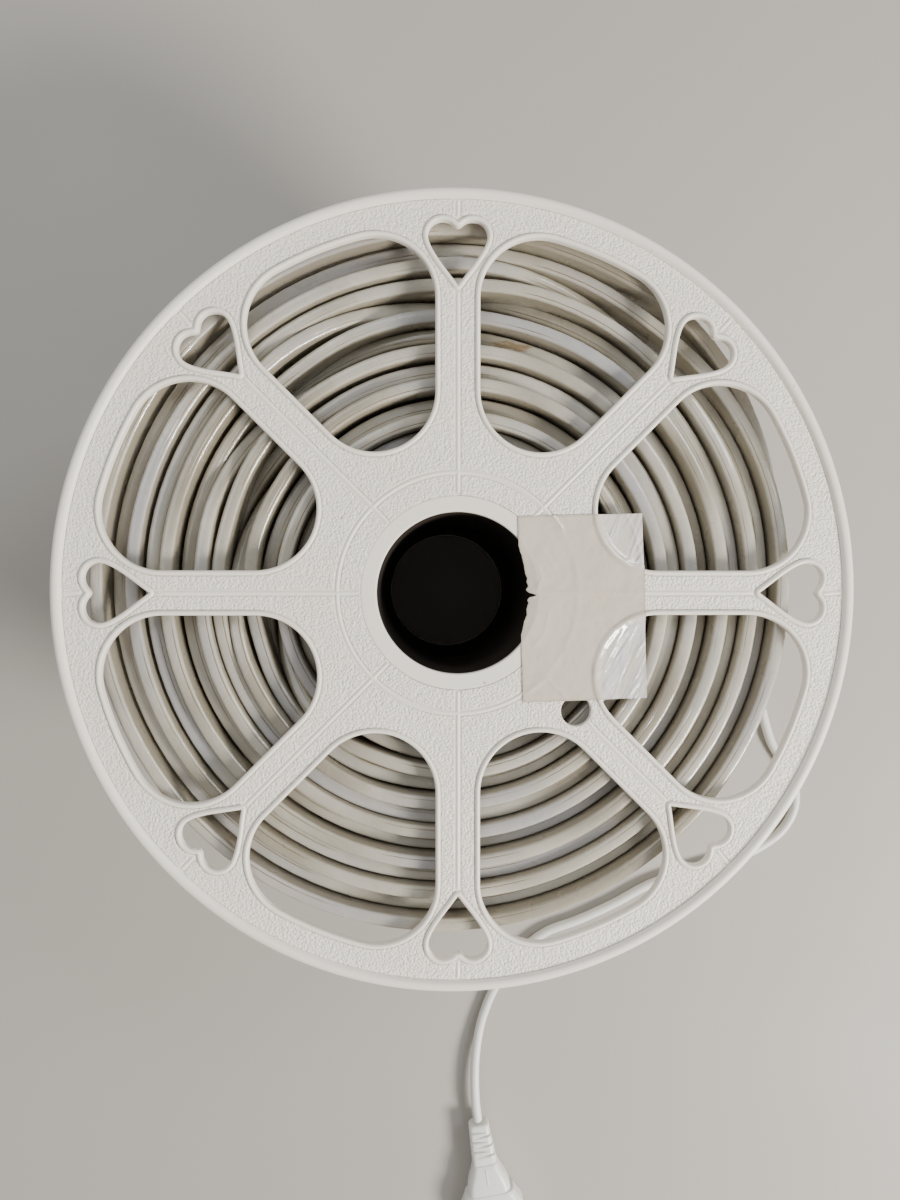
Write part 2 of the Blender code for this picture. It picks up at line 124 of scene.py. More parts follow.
# Route of the lead, from the connector's relief to the plug's
CORD_ROUTE = (
    (0.13665, 0.03657, 0.01475),
    (0.1398, 0.0299, 0.0146),
    (0.1432, 0.0226, 0.0137),
    (0.1465, 0.0154, 0.0118),
    (0.1499, 0.0081, 0.0092),
    (0.1525, 0.0027, 0.0070),
    (0.1558, -0.0046, 0.0047),
    (0.1592, -0.0118, 0.0032),
    (0.1628, -0.0195, 0.0026),
    (0.1688, -0.0340, 0.0026),
    (0.1762, -0.0590, 0.0026),
    (0.1835, -0.0850, 0.0026),
    (0.1925, -0.1005, 0.0026),
    (0.1978, -0.1130, 0.0026),
    (0.1970, -0.1255, 0.0026),
    (0.1900, -0.1370, 0.0026),
    (0.1785, -0.1455, 0.0026),
    (0.1660, -0.1510, 0.0026),
    (0.1400, -0.1580, 0.0026),
    (0.1150, -0.1665, 0.0026),
    (0.0950, -0.1770, 0.0026),
    (0.0750, -0.1860, 0.0026),
    (0.0550, -0.1935, 0.0026),
    (0.0400, -0.2060, 0.0026),
    (0.0280, -0.2225, 0.0026),
    (0.0210, -0.2385, 0.0028),
    (0.0176, -0.2520, 0.0038),
    (0.0160, -0.2650, 0.0053),
    (0.0158, -0.2780, 0.0064),
    (0.0164, -0.2885, 0.0068),
    (0.0176, -0.2974, 0.00685),
)
ROUTE_STEPS = 12

# Moulded relief of the flange, in millimetres: how far from the feature, how high over the plate
BEAD_PROFILE = (
    (0.00, -0.40), (0.08, 0.10), (0.30, 0.45), (0.65, 0.68), (1.00, 0.74), (1.35, 0.66),
    (1.65, 0.42), (1.85, 0.12), (2.05, -0.08), (2.25, -0.08), (2.45, 0.00), (2.80, 0.00),
)
HOLE_EDGE_PROFILE = ((0.00, -0.30), (0.12, -0.08), (0.35, 0.00), (0.70, 0.00))
RIM_PROFILE = (
    (-4.95, 0.00), (-4.60, 0.00), (-4.45, -0.06), (-4.30, 0.08), (-4.05, 0.42), (-3.65, 0.97),
    (-3.10, 1.36), (-2.40, 1.50), (-1.70, 1.47), (-1.00, 1.20), (-0.42, 0.70), (-0.08, 0.10),
)
RIM_SIDE_PROFILE = ((0.0, -0.6), (0.0, -2.0), (-0.35, -2.38))
HUB_PROFILE = ((0.00, -0.45), (0.07, -0.20), (0.26, -0.05), (0.55, 0.00), (0.90, 0.00))
HUB_STEP_PROFILE = ((-0.60, 0.00), (-0.25, 0.00), (-0.05, -0.10), (0.15, -0.10), (0.35, 0.00), (0.70, 0.00))
LINE_PROFILE = ((0.00, 0.34), (0.45, 0.14), (0.80, -0.15), (1.05, -0.15), (1.30, 0.00), (1.60, 0.00))
UNDER_EDGE = ((0.00, 0.25), (0.28, 0.00))
GRAIN_FROM = 2.04
DARK_FOOT_BAND = (1.9, 2.4)

# The film over the openings' beads, in millimetres from the edge and over the plate
FILM_PROFILE = (
    (-24.0, -1.30), (-12.0, -1.15), (-6.0, -0.95), (-3.0, -0.70), (-1.6, -0.46), (-0.8, -0.16),
    (-0.2, 0.20), (0.4, 0.50), (1.0, 0.60), (1.5, 0.52), (1.9, 0.28), (2.3, 0.06), (2.8, 0.00),
)


# Lines and sections


def arc(centre, radius, start, end, steps):
    """Points along an arc, both ends included, as an array."""
    angles = np.linspace(start, end, steps + 1)
    return np.column_stack((centre[0] + radius * np.cos(angles), centre[1] + radius * np.sin(angles)))


def circle(radius, steps):
    """Points round the axis, the first one not repeated."""
    return arc((0, 0), radius, 0, 2 * math.pi, steps)[:-1]


def resampled(points, count):
    """count + 1 points spread evenly along a line of points."""
    lengths = np.linalg.norm(np.diff(points, axis=0), axis=1)
    reach = np.concatenate(([0.0], np.cumsum(lengths)))
    places = np.linspace(0, reach[-1], count + 1)
    return np.column_stack([np.interp(places, reach, points[:, k]) for k in range(points.shape[1])])


def closed_half(half, count):
    """A closed outline from the half of it that lies above the X axis."""
    half = resampled(half, count)
    return np.vstack((half, half[-2:0:-1] * (1, -1)))


def window_outline(count=56):
    """A spoke window along +X: outer arc, round outer corners, straight sides, round inner end."""
    side = SPOKE_HALF_ANGLE + math.pi / 2
    half_spoke = SPOKE_WIDTH / 2
    corner_reach = WINDOW_OUTER_RADIUS - WINDOW_CORNER_RADIUS
    corner_angle = SPOKE_HALF_ANGLE - math.asin((half_spoke + WINDOW_CORNER_RADIUS) / corner_reach)
    corner = (corner_reach * math.cos(corner_angle), corner_reach * math.sin(corner_angle))
    inner_reach = (half_spoke + WINDOW_INNER_CORNER_RADIUS) / math.sin(SPOKE_HALF_ANGLE)
    half = np.vstack((
        arc((0, 0), WINDOW_OUTER_RADIUS, 0, corner_angle, 30),
        arc(corner, WINDOW_CORNER_RADIUS, corner_angle, side, 60)[1:],
        arc((inner_reach, 0), WINDOW_INNER_CORNER_RADIUS, side, math.pi, 60),
    ))
    return closed_half(half, count)


def heart_outline(count=44):
    """A heart along +X whose tip points at the axis: two round lobes and two bowed flanks."""
    half_width = HEART_WIDTH / 2
    lobe = half_width / 2
    lobe_arc = arc((HEART_TOP_RADIUS - lobe, half_width - lobe), lobe, -HEART_LOBE_START, math.pi / 2, 40)
    notch = np.array([[HEART_TOP_RADIUS - HEART_NOTCH_DEPTH, 0.0]])
    tip = np.array([HEART_TOP_RADIUS - HEART_LENGTH, 0.0])
    reach = lobe_arc[-1][0] - tip[0]
    first_pull = np.array([lobe_arc[-1][0] - reach * HEART_LOBE_PULL, half_width])
    last_pull = np.array([tip[0] + reach * HEART_TIP_PULL[0], half_width * HEART_TIP_PULL[1]])
    share = np.linspace(0, 1, 41)[1:, None]
    flank = ((1 - share) ** 3 * lobe_arc[-1] + 3 * (1 - share) ** 2 * share * first_pull
             + 3 * (1 - share) * share ** 2 * last_pull + share ** 3 * tip)
    return closed_half(np.vstack((notch, lobe_arc, flank)), count)


def turned_by(points, angle):
    """Points in the plane, turned about the origin."""
    turn = np.array(((math.cos(angle), math.sin(angle)), (-math.sin(angle), math.cos(angle))))
    return points @ turn


def distance_to(line, points, closed=True):
    """How far each point lies from a line of points, which ends where it starts if it is closed."""
    start = line if closed else line[:-1]
    step = (np.roll(line, -1, axis=0) if closed else line[1:]) - start
    away = points[:, None, :] - start[None]
    share = np.clip((away * step).sum(axis=2) / (step ** 2).sum(axis=1), 0, 1)
    return np.linalg.norm(away - share[..., None] * step, axis=2).min(axis=1)


def is_inside(outline, points):
    """Whether each point lies inside a closed outline."""
    after = np.roll(outline, -1, axis=0)
    rises = (outline[:, 1] > points[:, None, 1]) != (after[:, 1] > points[:, None, 1])
    drop = np.where(after[:, 1] == outline[:, 1], 1.0, after[:, 1] - outline[:, 1])
    crossing = outline[:, 0] + (points[:, None, 1] - outline[:, 1]) / drop * (after[:, 0] - outline[:, 0])
    return (rises & (points[:, None, 0] < crossing)).sum(axis=1) % 2 == 1


def loop_outside(outline, centre, distance):
    """The outline moved outwards by a distance, each point along its ray from a centre."""
    if distance == 0:
        return outline.copy()
    rays = outline - centre
    rays /= np.linalg.norm(rays, axis=1)[:, None]
    near = np.zeros(len(outline))
    far = np.full(len(outline), 3 * distance)
    for _ in range(24):
        middle = (near + far) / 2
        beyond = distance_to(outline, outline + rays * middle[:, None]) > distance
        far = np.where(beyond, middle, far)
        near = np.where(beyond, near, middle)
    return outline + rays * near[:, None]


def rounded_section(width, height, corner, per_corner):
    """A rectangle with round corners, as points in the plane, counter-clockwise."""
    points = []
    for k, (a, b) in enumerate(((1, 1), (-1, 1), (-1, -1), (1, -1))):
        centre = (a * (width / 2 - corner), b * (height / 2 - corner))
        points.append(arc(centre, corner, k * math.pi / 2, (k + 1) * math.pi / 2, per_corner))
    return np.vstack(points)


def smooth_route(route, steps):
    """Points on a Catmull-Rom curve through the route, a set number for each span."""
    points = [Vector(place) for place in route]
    points = [2 * points[0] - points[1]] + points + [2 * points[-1] - points[-2]]
    fine = []
    for k in range(1, len(points) - 2):
        a, b, c, d = points[k - 1:k + 3]
        for step in range(steps):
            t = step / steps
            straight = 2 * b + (c - a) * t
            bent = (2 * a - 5 * b + 4 * c - d) * t ** 2 + (3 * b - 3 * c + d - a) * t ** 3
            fine.append((straight + bent) / 2)
    fine.append(points[-2])
    return fine


# Meshes and objects


def new_piece(name, shape, finishes, smooth_angle=None):
    """An object at the origin with its finishes. A mesh may be shaded smooth up to an angle in degrees."""
    made = bpy.data.objects.new(name, shape)
    bpy.context.scene.collection.objects.link(made)
    for finish in finishes:
        shape.materials.append(finish)
    if smooth_angle is not None:
        shape.shade_smooth()
        shape.set_sharp_from_angle(angle=math.radians(smooth_angle))
    return made


def mesh_from(name, points, faces, outwards=True):
    """A mesh from points and faces, its normals turned outwards."""
    mesh = bpy.data.meshes.new(name)
    mesh.from_pydata([tuple(map(float, point)) for point in points], [], faces)
    if outwards:
        work = bmesh.new()
        work.from_mesh(mesh)
        bmesh.ops.recalc_face_normals(work, faces=work.faces)
        work.to_mesh(mesh)
        work.free()
    mesh.update()
    return mesh


def lofted(rings):
    """Points and faces of a closed tube through rings of equally many points."""
    count = len(rings[0])
    points = np.vstack(rings)
    faces = []
    for k in range(len(rings) - 1):
        for j in range(count):
            here = k * count + j
            there = k * count + (j + 1) % count
            faces.append((here, there, there + count, here + count))
    faces.append(tuple(range(count))[::-1])
    faces.append(tuple(range(len(points) - count, len(points))))
    return points, faces


def lofted_piece(name, rings, finishes, smooth_angle):
    """A piece made of one closed tube through rings."""
    return new_piece(name, mesh_from(name, *lofted(rings)), finishes, smooth_angle)


def frame_at(place, x_axis, y_axis, z_axis):
    """The matrix of a frame at a place, with its axes along three directions."""
    return Matrix.Translation(place) @ Matrix((x_axis, y_axis, z_axis)).transposed().to_4x4()


def ring_at(frame_matrix, distance, section):
    """A section's points, set across a frame's X axis at a distance along it."""
    return np.array([frame_matrix @ Vector((distance, y, z)) for y, z in section])


def turned(profile, segments):
    """Points and faces of a closed ring: a closed profile of (radius, height) round the axis."""
    profile = np.asarray(profile, dtype=float)
    count = len(profile)
    points = []
    faces = []
    for k in range(segments):
        angle = 2 * math.pi * k / segments
        points.append(np.column_stack((profile[:, 0] * math.cos(angle), profile[:, 0] * math.sin(angle),
                                       profile[:, 1])))
        after = (k + 1) % segments
        for j in range(count):
            follow = (j + 1) % count
            faces.append((k * count + j, k * count + follow, after * count + follow, after * count + j))
    return np.vstack(points), faces


def set_mask(mesh, name, values):
    """Stores one number for each point of a mesh, for its material to read."""
    mask = mesh.attributes.new(name, "FLOAT", "POINT")
    mask.data.foreach_set("value", np.asarray(values, dtype=np.float32))


def settle(piece, node):
    """Puts a finished piece on the reel, in place of the solid that it stands for."""
    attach(piece, "root")
    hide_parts(node)


# Materials

GRAIN_WARP = (0.0009, 0.0009, 0.0009)
CORE_AGED_COLOUR = (0.050, 0.036, 0.026)
FILM_SOIL_COLOUR = (0.30, 0.24, 0.15)
PIN_WORN_COLOUR = (0.52, 0.50, 0.46)

# The strip's outer face, in metres from its middle line: the white board, the wire on each side of
# it, and what is on the board, each with half its length, half its height and its colour
BOARD_REACH = 0.0052
BOARD_COLOUR = (0.74, 0.74, 0.70)
WIRE_START = (0.0056, 0.0058)
WIRE_END = 0.0068
WIRE_COLOUR = (0.42, 0.34, 0.24)
CHIP_FEET = (0.0033, 0.0009, (0.45, 0.46, 0.46))
CHIP_CASE = (0.0025, 0.0025, (0.80, 0.79, 0.74))
CHIP_REACH = 0.0018
RESISTOR = (0.0010, 0.0006, (0.03, 0.03, 0.03))
RESISTOR_HEIGHT = 0.0037
CHIPS_PER_RESISTOR = 3

# Blotches of dried glue on the turns below the front flange, each with its breadth
GLUE_SPOTS = (((0.0185, 0.0955, 0.145), 0.0085), ((0.0250, 0.0945, 0.145), 0.0070),
              ((-0.0470, 0.0890, 0.145), 0.0060), ((-0.0120, -0.1290, 0.145), 0.0050))
GLUE_STRETCH = (1.0, 2.6, 0.4)


def feed(tree, socket, value):
    """Links an input to a socket, or sets it to a value. A colour gets its alpha here."""
    if isinstance(value, bpy.types.NodeSocket):
        tree.links.new(value, socket)
    elif socket.type == "RGBA":
        socket.default_value = (*value, 1.0)
    else:
        socket.default_value = value


def add_node(tree, kind, inputs=None, **settings):
    """Adds a node. inputs maps socket names or numbers to values or to sockets to link."""
    made = tree.nodes.new(kind)
    for name, value in settings.items():
        setattr(made, name, value)
    for name, value in (inputs or {}).items():
        feed(tree, made.inputs[name], value)
    return made


def set_values(shader, values):
    """Sets inputs of a shader that are the same everywhere."""
    for name, value in values.items():
        shader.inputs[name].default_value = value


def mix_colours(tree, share, first, second):
    """The socket of a colour mixed from two, each a colour or a socket."""
    return add_node(tree, "ShaderNodeMix", {0: share, 6: first, 7: second}, data_type="RGBA").outputs[2]


def calculate(tree, operation, first, second=None, third=None):
    """The socket of a sum, product or other operation on numbers or sockets."""
    inputs = {k: value for k, value in enumerate((first, second, third)) if value is not None}
    return add_node(tree, "ShaderNodeMath", inputs, operation=operation).outputs[0]


def product(tree, first, second):
    """The socket of two numbers or sockets multiplied."""
    return calculate(tree, "MULTIPLY", first, second)


def ramp(tree, value, low, high, to_low=0.0, to_high=1.0):
    """The socket of a value mapped from one range to another, held at its ends."""
    inputs = {"Value": value, "From Min": low, "From Max": high, "To Min": to_low, "To Max": to_high}
    return add_node(tree, "ShaderNodeMapRange", inputs).outputs[0]


def within(tree, value, limit, soft=0.00012):
    """One where a value is below a limit, zero above it, with a soft change between."""
    return ramp(tree, value, limit - soft, limit + soft, 1.0, 0.0)


def distance_from(tree, value, place):
    """How far a value is from a place."""
    return calculate(tree, "ABSOLUTE", calculate(tree, "SUBTRACT", value, place))


def noise_value(tree, place, scale, detail, **inputs):
    """The socket of cloudy noise at a place on the piece."""
    values = {"Vector": place, "Scale": scale, "Detail": detail, **inputs}
    return add_node(tree, "ShaderNodeTexNoise", values).outputs["Fac"]


def scaled_place(tree, place, scale):
    """The socket of a place with each of its axes scaled."""
    return add_node(tree, "ShaderNodeMapping", {"Vector": place, "Scale": scale}).outputs[0]


def streak_place(tree, place, angle, size):
    """The socket of a place counted in streaks of one size, turned about Z by an angle."""
    inputs = {"Vector": place, "Rotation": (0.0, 0.0, angle), "Scale": size}
    return add_node(tree, "ShaderNodeMapping", inputs, vector_type="TEXTURE").outputs[0]


def attribute(tree, name):
    """The node that reads an attribute of the mesh."""
    return add_node(tree, "ShaderNodeAttribute", attribute_name=name)


def arrange(tree):
    """Sets the nodes of a tree in columns, each to the left of those that it feeds."""
    column = {made: 0 for made in tree.nodes}
    for _ in tree.nodes:
        for link in tree.links:
            column[link.from_node] = max(column[link.from_node], column[link.to_node] + 1)
    rows = {}
    for made in tree.nodes:
        row = rows.get(column[made], 0)
        made.location = (-230 * column[made], -260 * row)
        rows[column[made]] = row + 1


def group_tree(name, inputs, outputs):
    """A shader node group with named sockets, with its input and output nodes."""
    tree = bpy.data.node_groups.new(name, "ShaderNodeTree")
    for socket_name, kind, default in inputs:
        socket = tree.interface.new_socket(name=socket_name, in_out="INPUT", socket_type=kind)
        if default is not None:
            socket.default_value = default
    for socket_name, kind in outputs:
        tree.interface.new_socket(name=socket_name, in_out="OUTPUT", socket_type=kind)
    return tree, tree.nodes.new("NodeGroupInput").outputs, tree.nodes.new("NodeGroupOutput").inputs


def use_group(tree, name, build, inputs):
    """A node of a group, which is built the first time that it is asked for."""
    group = bpy.data.node_groups.get(name) or build(name)
    return add_node(tree, "ShaderNodeGroup", inputs, node_tree=group)


def build_leather_grain(name):
    """Fine cells like those of a leather-grained mould, as a height."""
    tree, given, result = group_tree(
        name,
        (("Vector", "NodeSocketVector", None), ("Cells per metre", "NodeSocketFloat", 900.0),
         ("Mask", "NodeSocketFloat", 1.0)),
        (("Height", "NodeSocketFloat"),),
    )
    place = given["Vector"]
    warp = add_node(tree, "ShaderNodeTexNoise", {"Vector": place, "Scale": 560.0, "Detail": 2.0})
    pushed = add_node(tree, "ShaderNodeVectorMath", {0: warp.outputs["Color"], 1: GRAIN_WARP, 2: place},
                      operation="MULTIPLY_ADD")
    cells = add_node(tree, "ShaderNodeTexVoronoi",
                     {"Vector": pushed.outputs[0], "Scale": given["Cells per metre"], "Smoothness": 0.35},
                     feature="SMOOTH_F1")
    pebbles = calculate(tree, "SUBTRACT", 1.0, cells.outputs["Distance"])
    grain = calculate(tree, "MULTIPLY_ADD", noise_value(tree, place, 2600.0, 2.0), 0.35, pebbles)
    tree.links.new(product(tree, grain, given["Mask"]), result["Height"])
    arrange(tree)
    return tree


def build_moulded_tone(name):
    """The cloudy shade and gloss of moulded plastic, with fine specks, and soil where it is masked."""
    tree, given, result = group_tree(
        name,
        (("Vector", "NodeSocketVector", None), ("Colour", "NodeSocketColor", (0.8, 0.8, 0.8, 1.0)),
         ("Aged colour", "NodeSocketColor", (0.7, 0.66, 0.58, 1.0)), ("Ageing", "NodeSocketFloat", 0.3),
         ("Soil", "NodeSocketFloat", 0.0), ("Soil colour", "NodeSocketColor", (0.2, 0.17, 0.13, 1.0)),
         ("Specks", "NodeSocketFloat", 0.3), ("Roughness", "NodeSocketFloat", 0.45)),
        (("Colour", "NodeSocketColor"), ("Roughness", "NodeSocketFloat")),
    )
    place = given["Vector"]
    clouds = noise_value(tree, place, 26.0, 5.0, Roughness=0.6)
    aged_share = product(tree, ramp(tree, clouds, 0.40, 0.78), given["Ageing"])
    aged = mix_colours(tree, aged_share, given["Colour"], given["Aged colour"])
    streaks = ramp(tree, noise_value(tree, place, 140.0, 3.0), 0.25, 0.75, 0.35, 1.0)
    soiled = mix_colours(tree, product(tree, streaks, given["Soil"]), aged, given["Soil colour"])
    dots = add_node(tree, "ShaderNodeTexVoronoi", {"Vector": place, "Scale": 95.0})
    drawn = add_node(tree, "ShaderNodeSeparateColor", {"Color": dots.outputs["Color"]}).outputs[0]
    near = ramp(tree, dots.outputs["Distance"], 0.035, 0.065, 1.0, 0.0)
    speck = product(tree, ramp(tree, drawn, 0.80, 0.84), near)
    specked = mix_colours(tree, product(tree, speck, given["Specks"]), soiled, given["Soil colour"])
    rough_shift = ramp(tree, clouds, 0.3, 0.8, -0.05, 0.07)
    tree.links.new(specked, result["Colour"])
    tree.links.new(calculate(tree, "ADD", given["Roughness"], rough_shift), result["Roughness"])
    arrange(tree)
    return tree


def build_fine_scratches(name):
    """Fine scratches and waviness of a handled glossy surface, as a height."""
    tree, given, result = group_tree(
        name,
        (("Vector", "NodeSocketVector", None), ("Waves per metre", "NodeSocketFloat", 90.0),
         ("Scratches", "NodeSocketFloat", 0.3)),
        (("Height", "NodeSocketFloat"),),
    )
    place = given["Vector"]
    waves = noise_value(tree, place, given["Waves per metre"], 2.0)
    lines = noise_value(tree, streak_place(tree, place, 0.7, (0.0006, 0.011, 0.0025)), 1.0, 3.0)
    cut = product(tree, ramp(tree, lines, 0.62, 0.72, 0.0, -1.0), given["Scratches"])
    tree.links.new(calculate(tree, "ADD", waves, cut), result["Height"])
    arrange(tree)
    return tree


def new_finish(name):
    """A material with its tree, its Principled shader and a place socket, ready for its nodes."""
    made = bpy.data.materials.new(name)
    made.use_nodes = True
    tree = made.node_tree
    place = add_node(tree, "ShaderNodeTexCoord").outputs["Object"]
    return made, tree, tree.nodes["Principled BSDF"], place


def add_tone(tree, shader, place, colour, aged, ageing, soil, specks, roughness):
    """Feeds a shader's colour and roughness from the moulded tone group."""
    values = {"Vector": place, "Colour": colour, "Aged colour": aged, "Ageing": ageing, "Soil": soil,
              "Specks": specks, "Roughness": roughness}
    tone = use_group(tree, "Moulded tone", build_moulded_tone, values)
    tree.links.new(tone.outputs["Colour"], shader.inputs["Base Color"])
    tree.links.new(tone.outputs["Roughness"], shader.inputs["Roughness"])
    return tone


def scratches(tree, place, waves, depth=0.3):
    """The socket of the height of fine scratches and waviness, with its waves per metre."""
    values = {"Vector": place, "Waves per metre": waves, "Scratches": depth}
    return use_group(tree, "Fine scratches", build_fine_scratches, values).outputs["Height"]


def add_bump(tree, shader, height, depth):
    """Feeds a shader's normal from a height, with a depth in metres."""
    bump = add_node(tree, "ShaderNodeBump", {"Height": height, "Distance": depth, "Strength": 1.0})
    tree.links.new(bump.outputs["Normal"], shader.inputs["Normal"])


def flange_finish(look):
    """Off-white moulded plastic: leather grain on the plate, smooth beads, darker at their feet."""
    made, tree, shader, place = new_finish("flange plastic")
    # Darker where the mask marks the grooves at the feet of the beads, the rim and the hub's ring.
    soil = product(tree, attribute(tree, "soil").outputs["Fac"], 0.55)
    add_tone(tree, shader, place, look.plastic_colour, look.aged_colour, ageing=0.35, soil=soil,
             specks=0.5, roughness=0.42)
    grain = use_group(tree, "Leather grain", build_leather_grain,
                      {"Vector": place, "Mask": attribute(tree, "grain").outputs["Fac"],
                       "Cells per metre": 1.0 / look.grain_size})
    add_bump(tree, shader, grain.outputs["Height"], look.grain_depth)
    set_values(shader, {"Specular IOR Level": 0.45, "Subsurface Weight": 0.06,
                        "Subsurface Radius": (0.0012, 0.0010, 0.0008), "Subsurface Scale": 1.0})
    arrange(tree)
    return made


def core_finish(look):
    """Near-black brown moulded plastic with faint turned rings."""
    made, tree, shader, place = new_finish("core plastic")
    add_tone(tree, shader, place, look.core_colour, CORE_AGED_COLOUR, ageing=0.6, soil=0.0, specks=0.4,
             roughness=0.52)
    rings = noise_value(tree, scaled_place(tree, place, (60.0, 60.0, 900.0)), 1.0, 3.0)
    add_bump(tree, shader, rings, 0.00012)
    arrange(tree)
    return made


def chip_face(tree, look, along, height):
    """The strip's outer face: light chips on a white board between two wires, resistors between."""
    def from_repeat(pitch, place):
        """How far along the strip it is to the nearest of what repeats at a pitch."""
        step = calculate(tree, "FRACT", calculate(tree, "DIVIDE", along, pitch))
        return product(tree, distance_from(tree, step, place), pitch)

    from_middle = calculate(tree, "ABSOLUTE", height)
    from_chip = from_repeat(look.chip_pitch, 0.5)
    from_resistor = from_repeat(look.chip_pitch * CHIPS_PER_RESISTOR, 0.333)
    wire = product(tree, ramp(tree, from_middle, *WIRE_START), within(tree, from_middle, WIRE_END))
    face = mix_colours(tree, wire, look.sleeve_shade, WIRE_COLOUR)
    face = mix_colours(tree, within(tree, from_middle, BOARD_REACH), face, BOARD_COLOUR)
    for length, breadth, colour in (CHIP_FEET, CHIP_CASE, (CHIP_REACH, CHIP_REACH, look.chip_colour)):
        shown = product(tree, within(tree, from_chip, length), within(tree, from_middle, breadth))
        face = mix_colours(tree, shown, face, colour)
    length, breadth, colour = RESISTOR
    shown = product(tree, within(tree, from_resistor, length),
                    within(tree, distance_from(tree, height, RESISTOR_HEIGHT), breadth))
    return mix_colours(tree, shown, face, colour)


def glue_share(tree, place):
    """Where dried glue lies on the turns: a few smears across the reel, ragged at their edges."""
    drawn = scaled_place(tree, place, GLUE_STRETCH)
    ragged = noise_value(tree, drawn, 330.0, 4.0)
    share = None
    for spot, size in GLUE_SPOTS:
        middle = tuple(value * stretch for value, stretch in zip(spot, GLUE_STRETCH))
        away = add_node(tree, "ShaderNodeVectorMath", {0: drawn, 1: middle}, operation="DISTANCE")
        near = ramp(tree, away.outputs["Value"], size * 0.35, size, 1.0, 0.0)
        share = near if share is None else calculate(tree, "MAXIMUM", share, near)
    return ramp(tree, product(tree, share, ragged), 0.24, 0.46, 0.0, 0.9)


def strip_finish(look):
    """Glossy off-white sleeve, clear over a row of chips on the face that looks out, with painted shade on
    the face that looks in and on some rows.
    """
    made, tree, shader, place = new_finish("strip sleeve")
    along = attribute(tree, "along").outputs["Fac"]
    section = add_node(tree, "ShaderNodeSeparateXYZ", {0: attribute(tree, "section").outputs["Vector"]})
    across, height = section.outputs[0], section.outputs[1]
    half = look.strip_thickness / 2
    outward = ramp(tree, across, -half * 0.97, -half * 0.86, 1.0, 0.0)
    inward = ramp(tree, across, half * 0.80, half * 0.97)

    clouds = noise_value(tree, place, 55.0, 4.0)
    sleeve = mix_colours(tree, ramp(tree, clouds, 0.35, 0.75), look.sleeve_colour, look.sleeve_shade)
    rows = add_node(tree, "ShaderNodeTexNoise", {"W": product(tree, along, 1.5), "Detail": 2.0},
                    noise_dimensions="1D").outputs["Fac"]
    sleeve = mix_colours(tree, ramp(tree, rows, 0.48, 0.64, 0.0, 0.8), sleeve, look.cool_colour)
    # Painted shade: some rows are darkened towards the painted shade colour, as if sunk in shadow.
    sleeve = mix_colours(tree, ramp(tree, rows, 0.33, 0.49, 0.7, 0.0), sleeve, look.painted_shade_colour)
    patches = ramp(tree, noise_value(tree, place, 21.0, 2.0), 0.42, 0.56, 0.0, 0.85)
    seam_line = within(tree, distance_from(tree, across, half * 0.42), 0.00014, 0.00010)
    seam = product(tree, seam_line, patches)
    sleeve = mix_colours(tree, seam, sleeve, look.seam_colour)
    # Painted shade on the face that looks in, which lies in shade between the turns.
    shaded_inward = mix_colours(tree, product(tree, inward, 0.85), sleeve, look.painted_shade_colour)
    shown = mix_colours(tree, outward, shaded_inward, chip_face(tree, look, along, height))
    glued = mix_colours(tree, glue_share(tree, place), shown, look.seam_colour)
    tree.links.new(glued, shader.inputs["Base Color"])

    relief = calculate(tree, "SUBTRACT", scratches(tree, place, 160.0), seam)
    add_bump(tree, shader, relief, 0.00030)
    tree.links.new(ramp(tree, clouds, 0.3, 0.7, 0.22, 0.38), shader.inputs["Roughness"])
    set_values(shader, {"Coat Weight": 0.7, "Coat Roughness": 0.07, "Subsurface Weight": 0.35,
                        "Subsurface Radius": (0.0060, 0.0050, 0.0034), "Subsurface Scale": 1.0})
    arrange(tree)
    return made


def film_finish(look):
    """Glossy beige sticker film, bare of print, with a painted sheen of pale streaks where it hangs free,
    soiled along its edges.
    """
    made, tree, shader, place = new_finish("sticker film")
    over_gap = attribute(tree, "over_gap").outputs["Fac"]
    soil = product(tree, attribute(tree, "edge").outputs["Fac"], 0.5)
    tone = add_tone(tree, shader, place, look.film_colour, look.film_aged_colour, ageing=0.8, soil=soil,
                    specks=0.4, roughness=0.24)
    feed(tree, tone.inputs["Soil colour"], FILM_SOIL_COLOUR)
    # Painted sheen: pale streaks where the film hangs over an opening, standing for light reflected in it.
    streaks = noise_value(tree, streak_place(tree, place, -0.45, (0.0042, 0.026, 0.02)), 1.0, 3.0,
                          Distortion=0.6)
    sheen_share = product(tree, over_gap, ramp(tree, streaks, 0.38, 0.62, 0.2, 0.9))
    sheened = mix_colours(tree, sheen_share, tone.outputs["Colour"], look.film_sheen_colour)
    tree.links.new(sheened, shader.inputs["Base Color"])
    relief = calculate(tree, "MULTIPLY_ADD", sheen_share, 0.9, scratches(tree, place, 150.0, 0.08))
    add_bump(tree, shader, relief, 0.00055)
    set_values(shader, {"Coat Weight": 1.0, "Coat Roughness": 0.05})
    arrange(tree)
    return made


def lead_finish(name, look, roughness, waves):
    """White plastic of the lead and its mouldings, faintly soiled by handling."""
    made, tree, shader, place = new_finish(name)
    add_tone(tree, shader, place, look.lead_colour, look.lead_aged_colour, ageing=0.5, soil=0.0,
             specks=0.35, roughness=roughness)
    add_bump(tree, shader, scratches(tree, place, waves, 0.25), 0.00012)
    set_values(shader, {"Subsurface Weight": 0.10, "Subsurface Radius": (0.0020, 0.0018, 0.0014),
                        "Subsurface Scale": 1.0})
    arrange(tree)
    return made


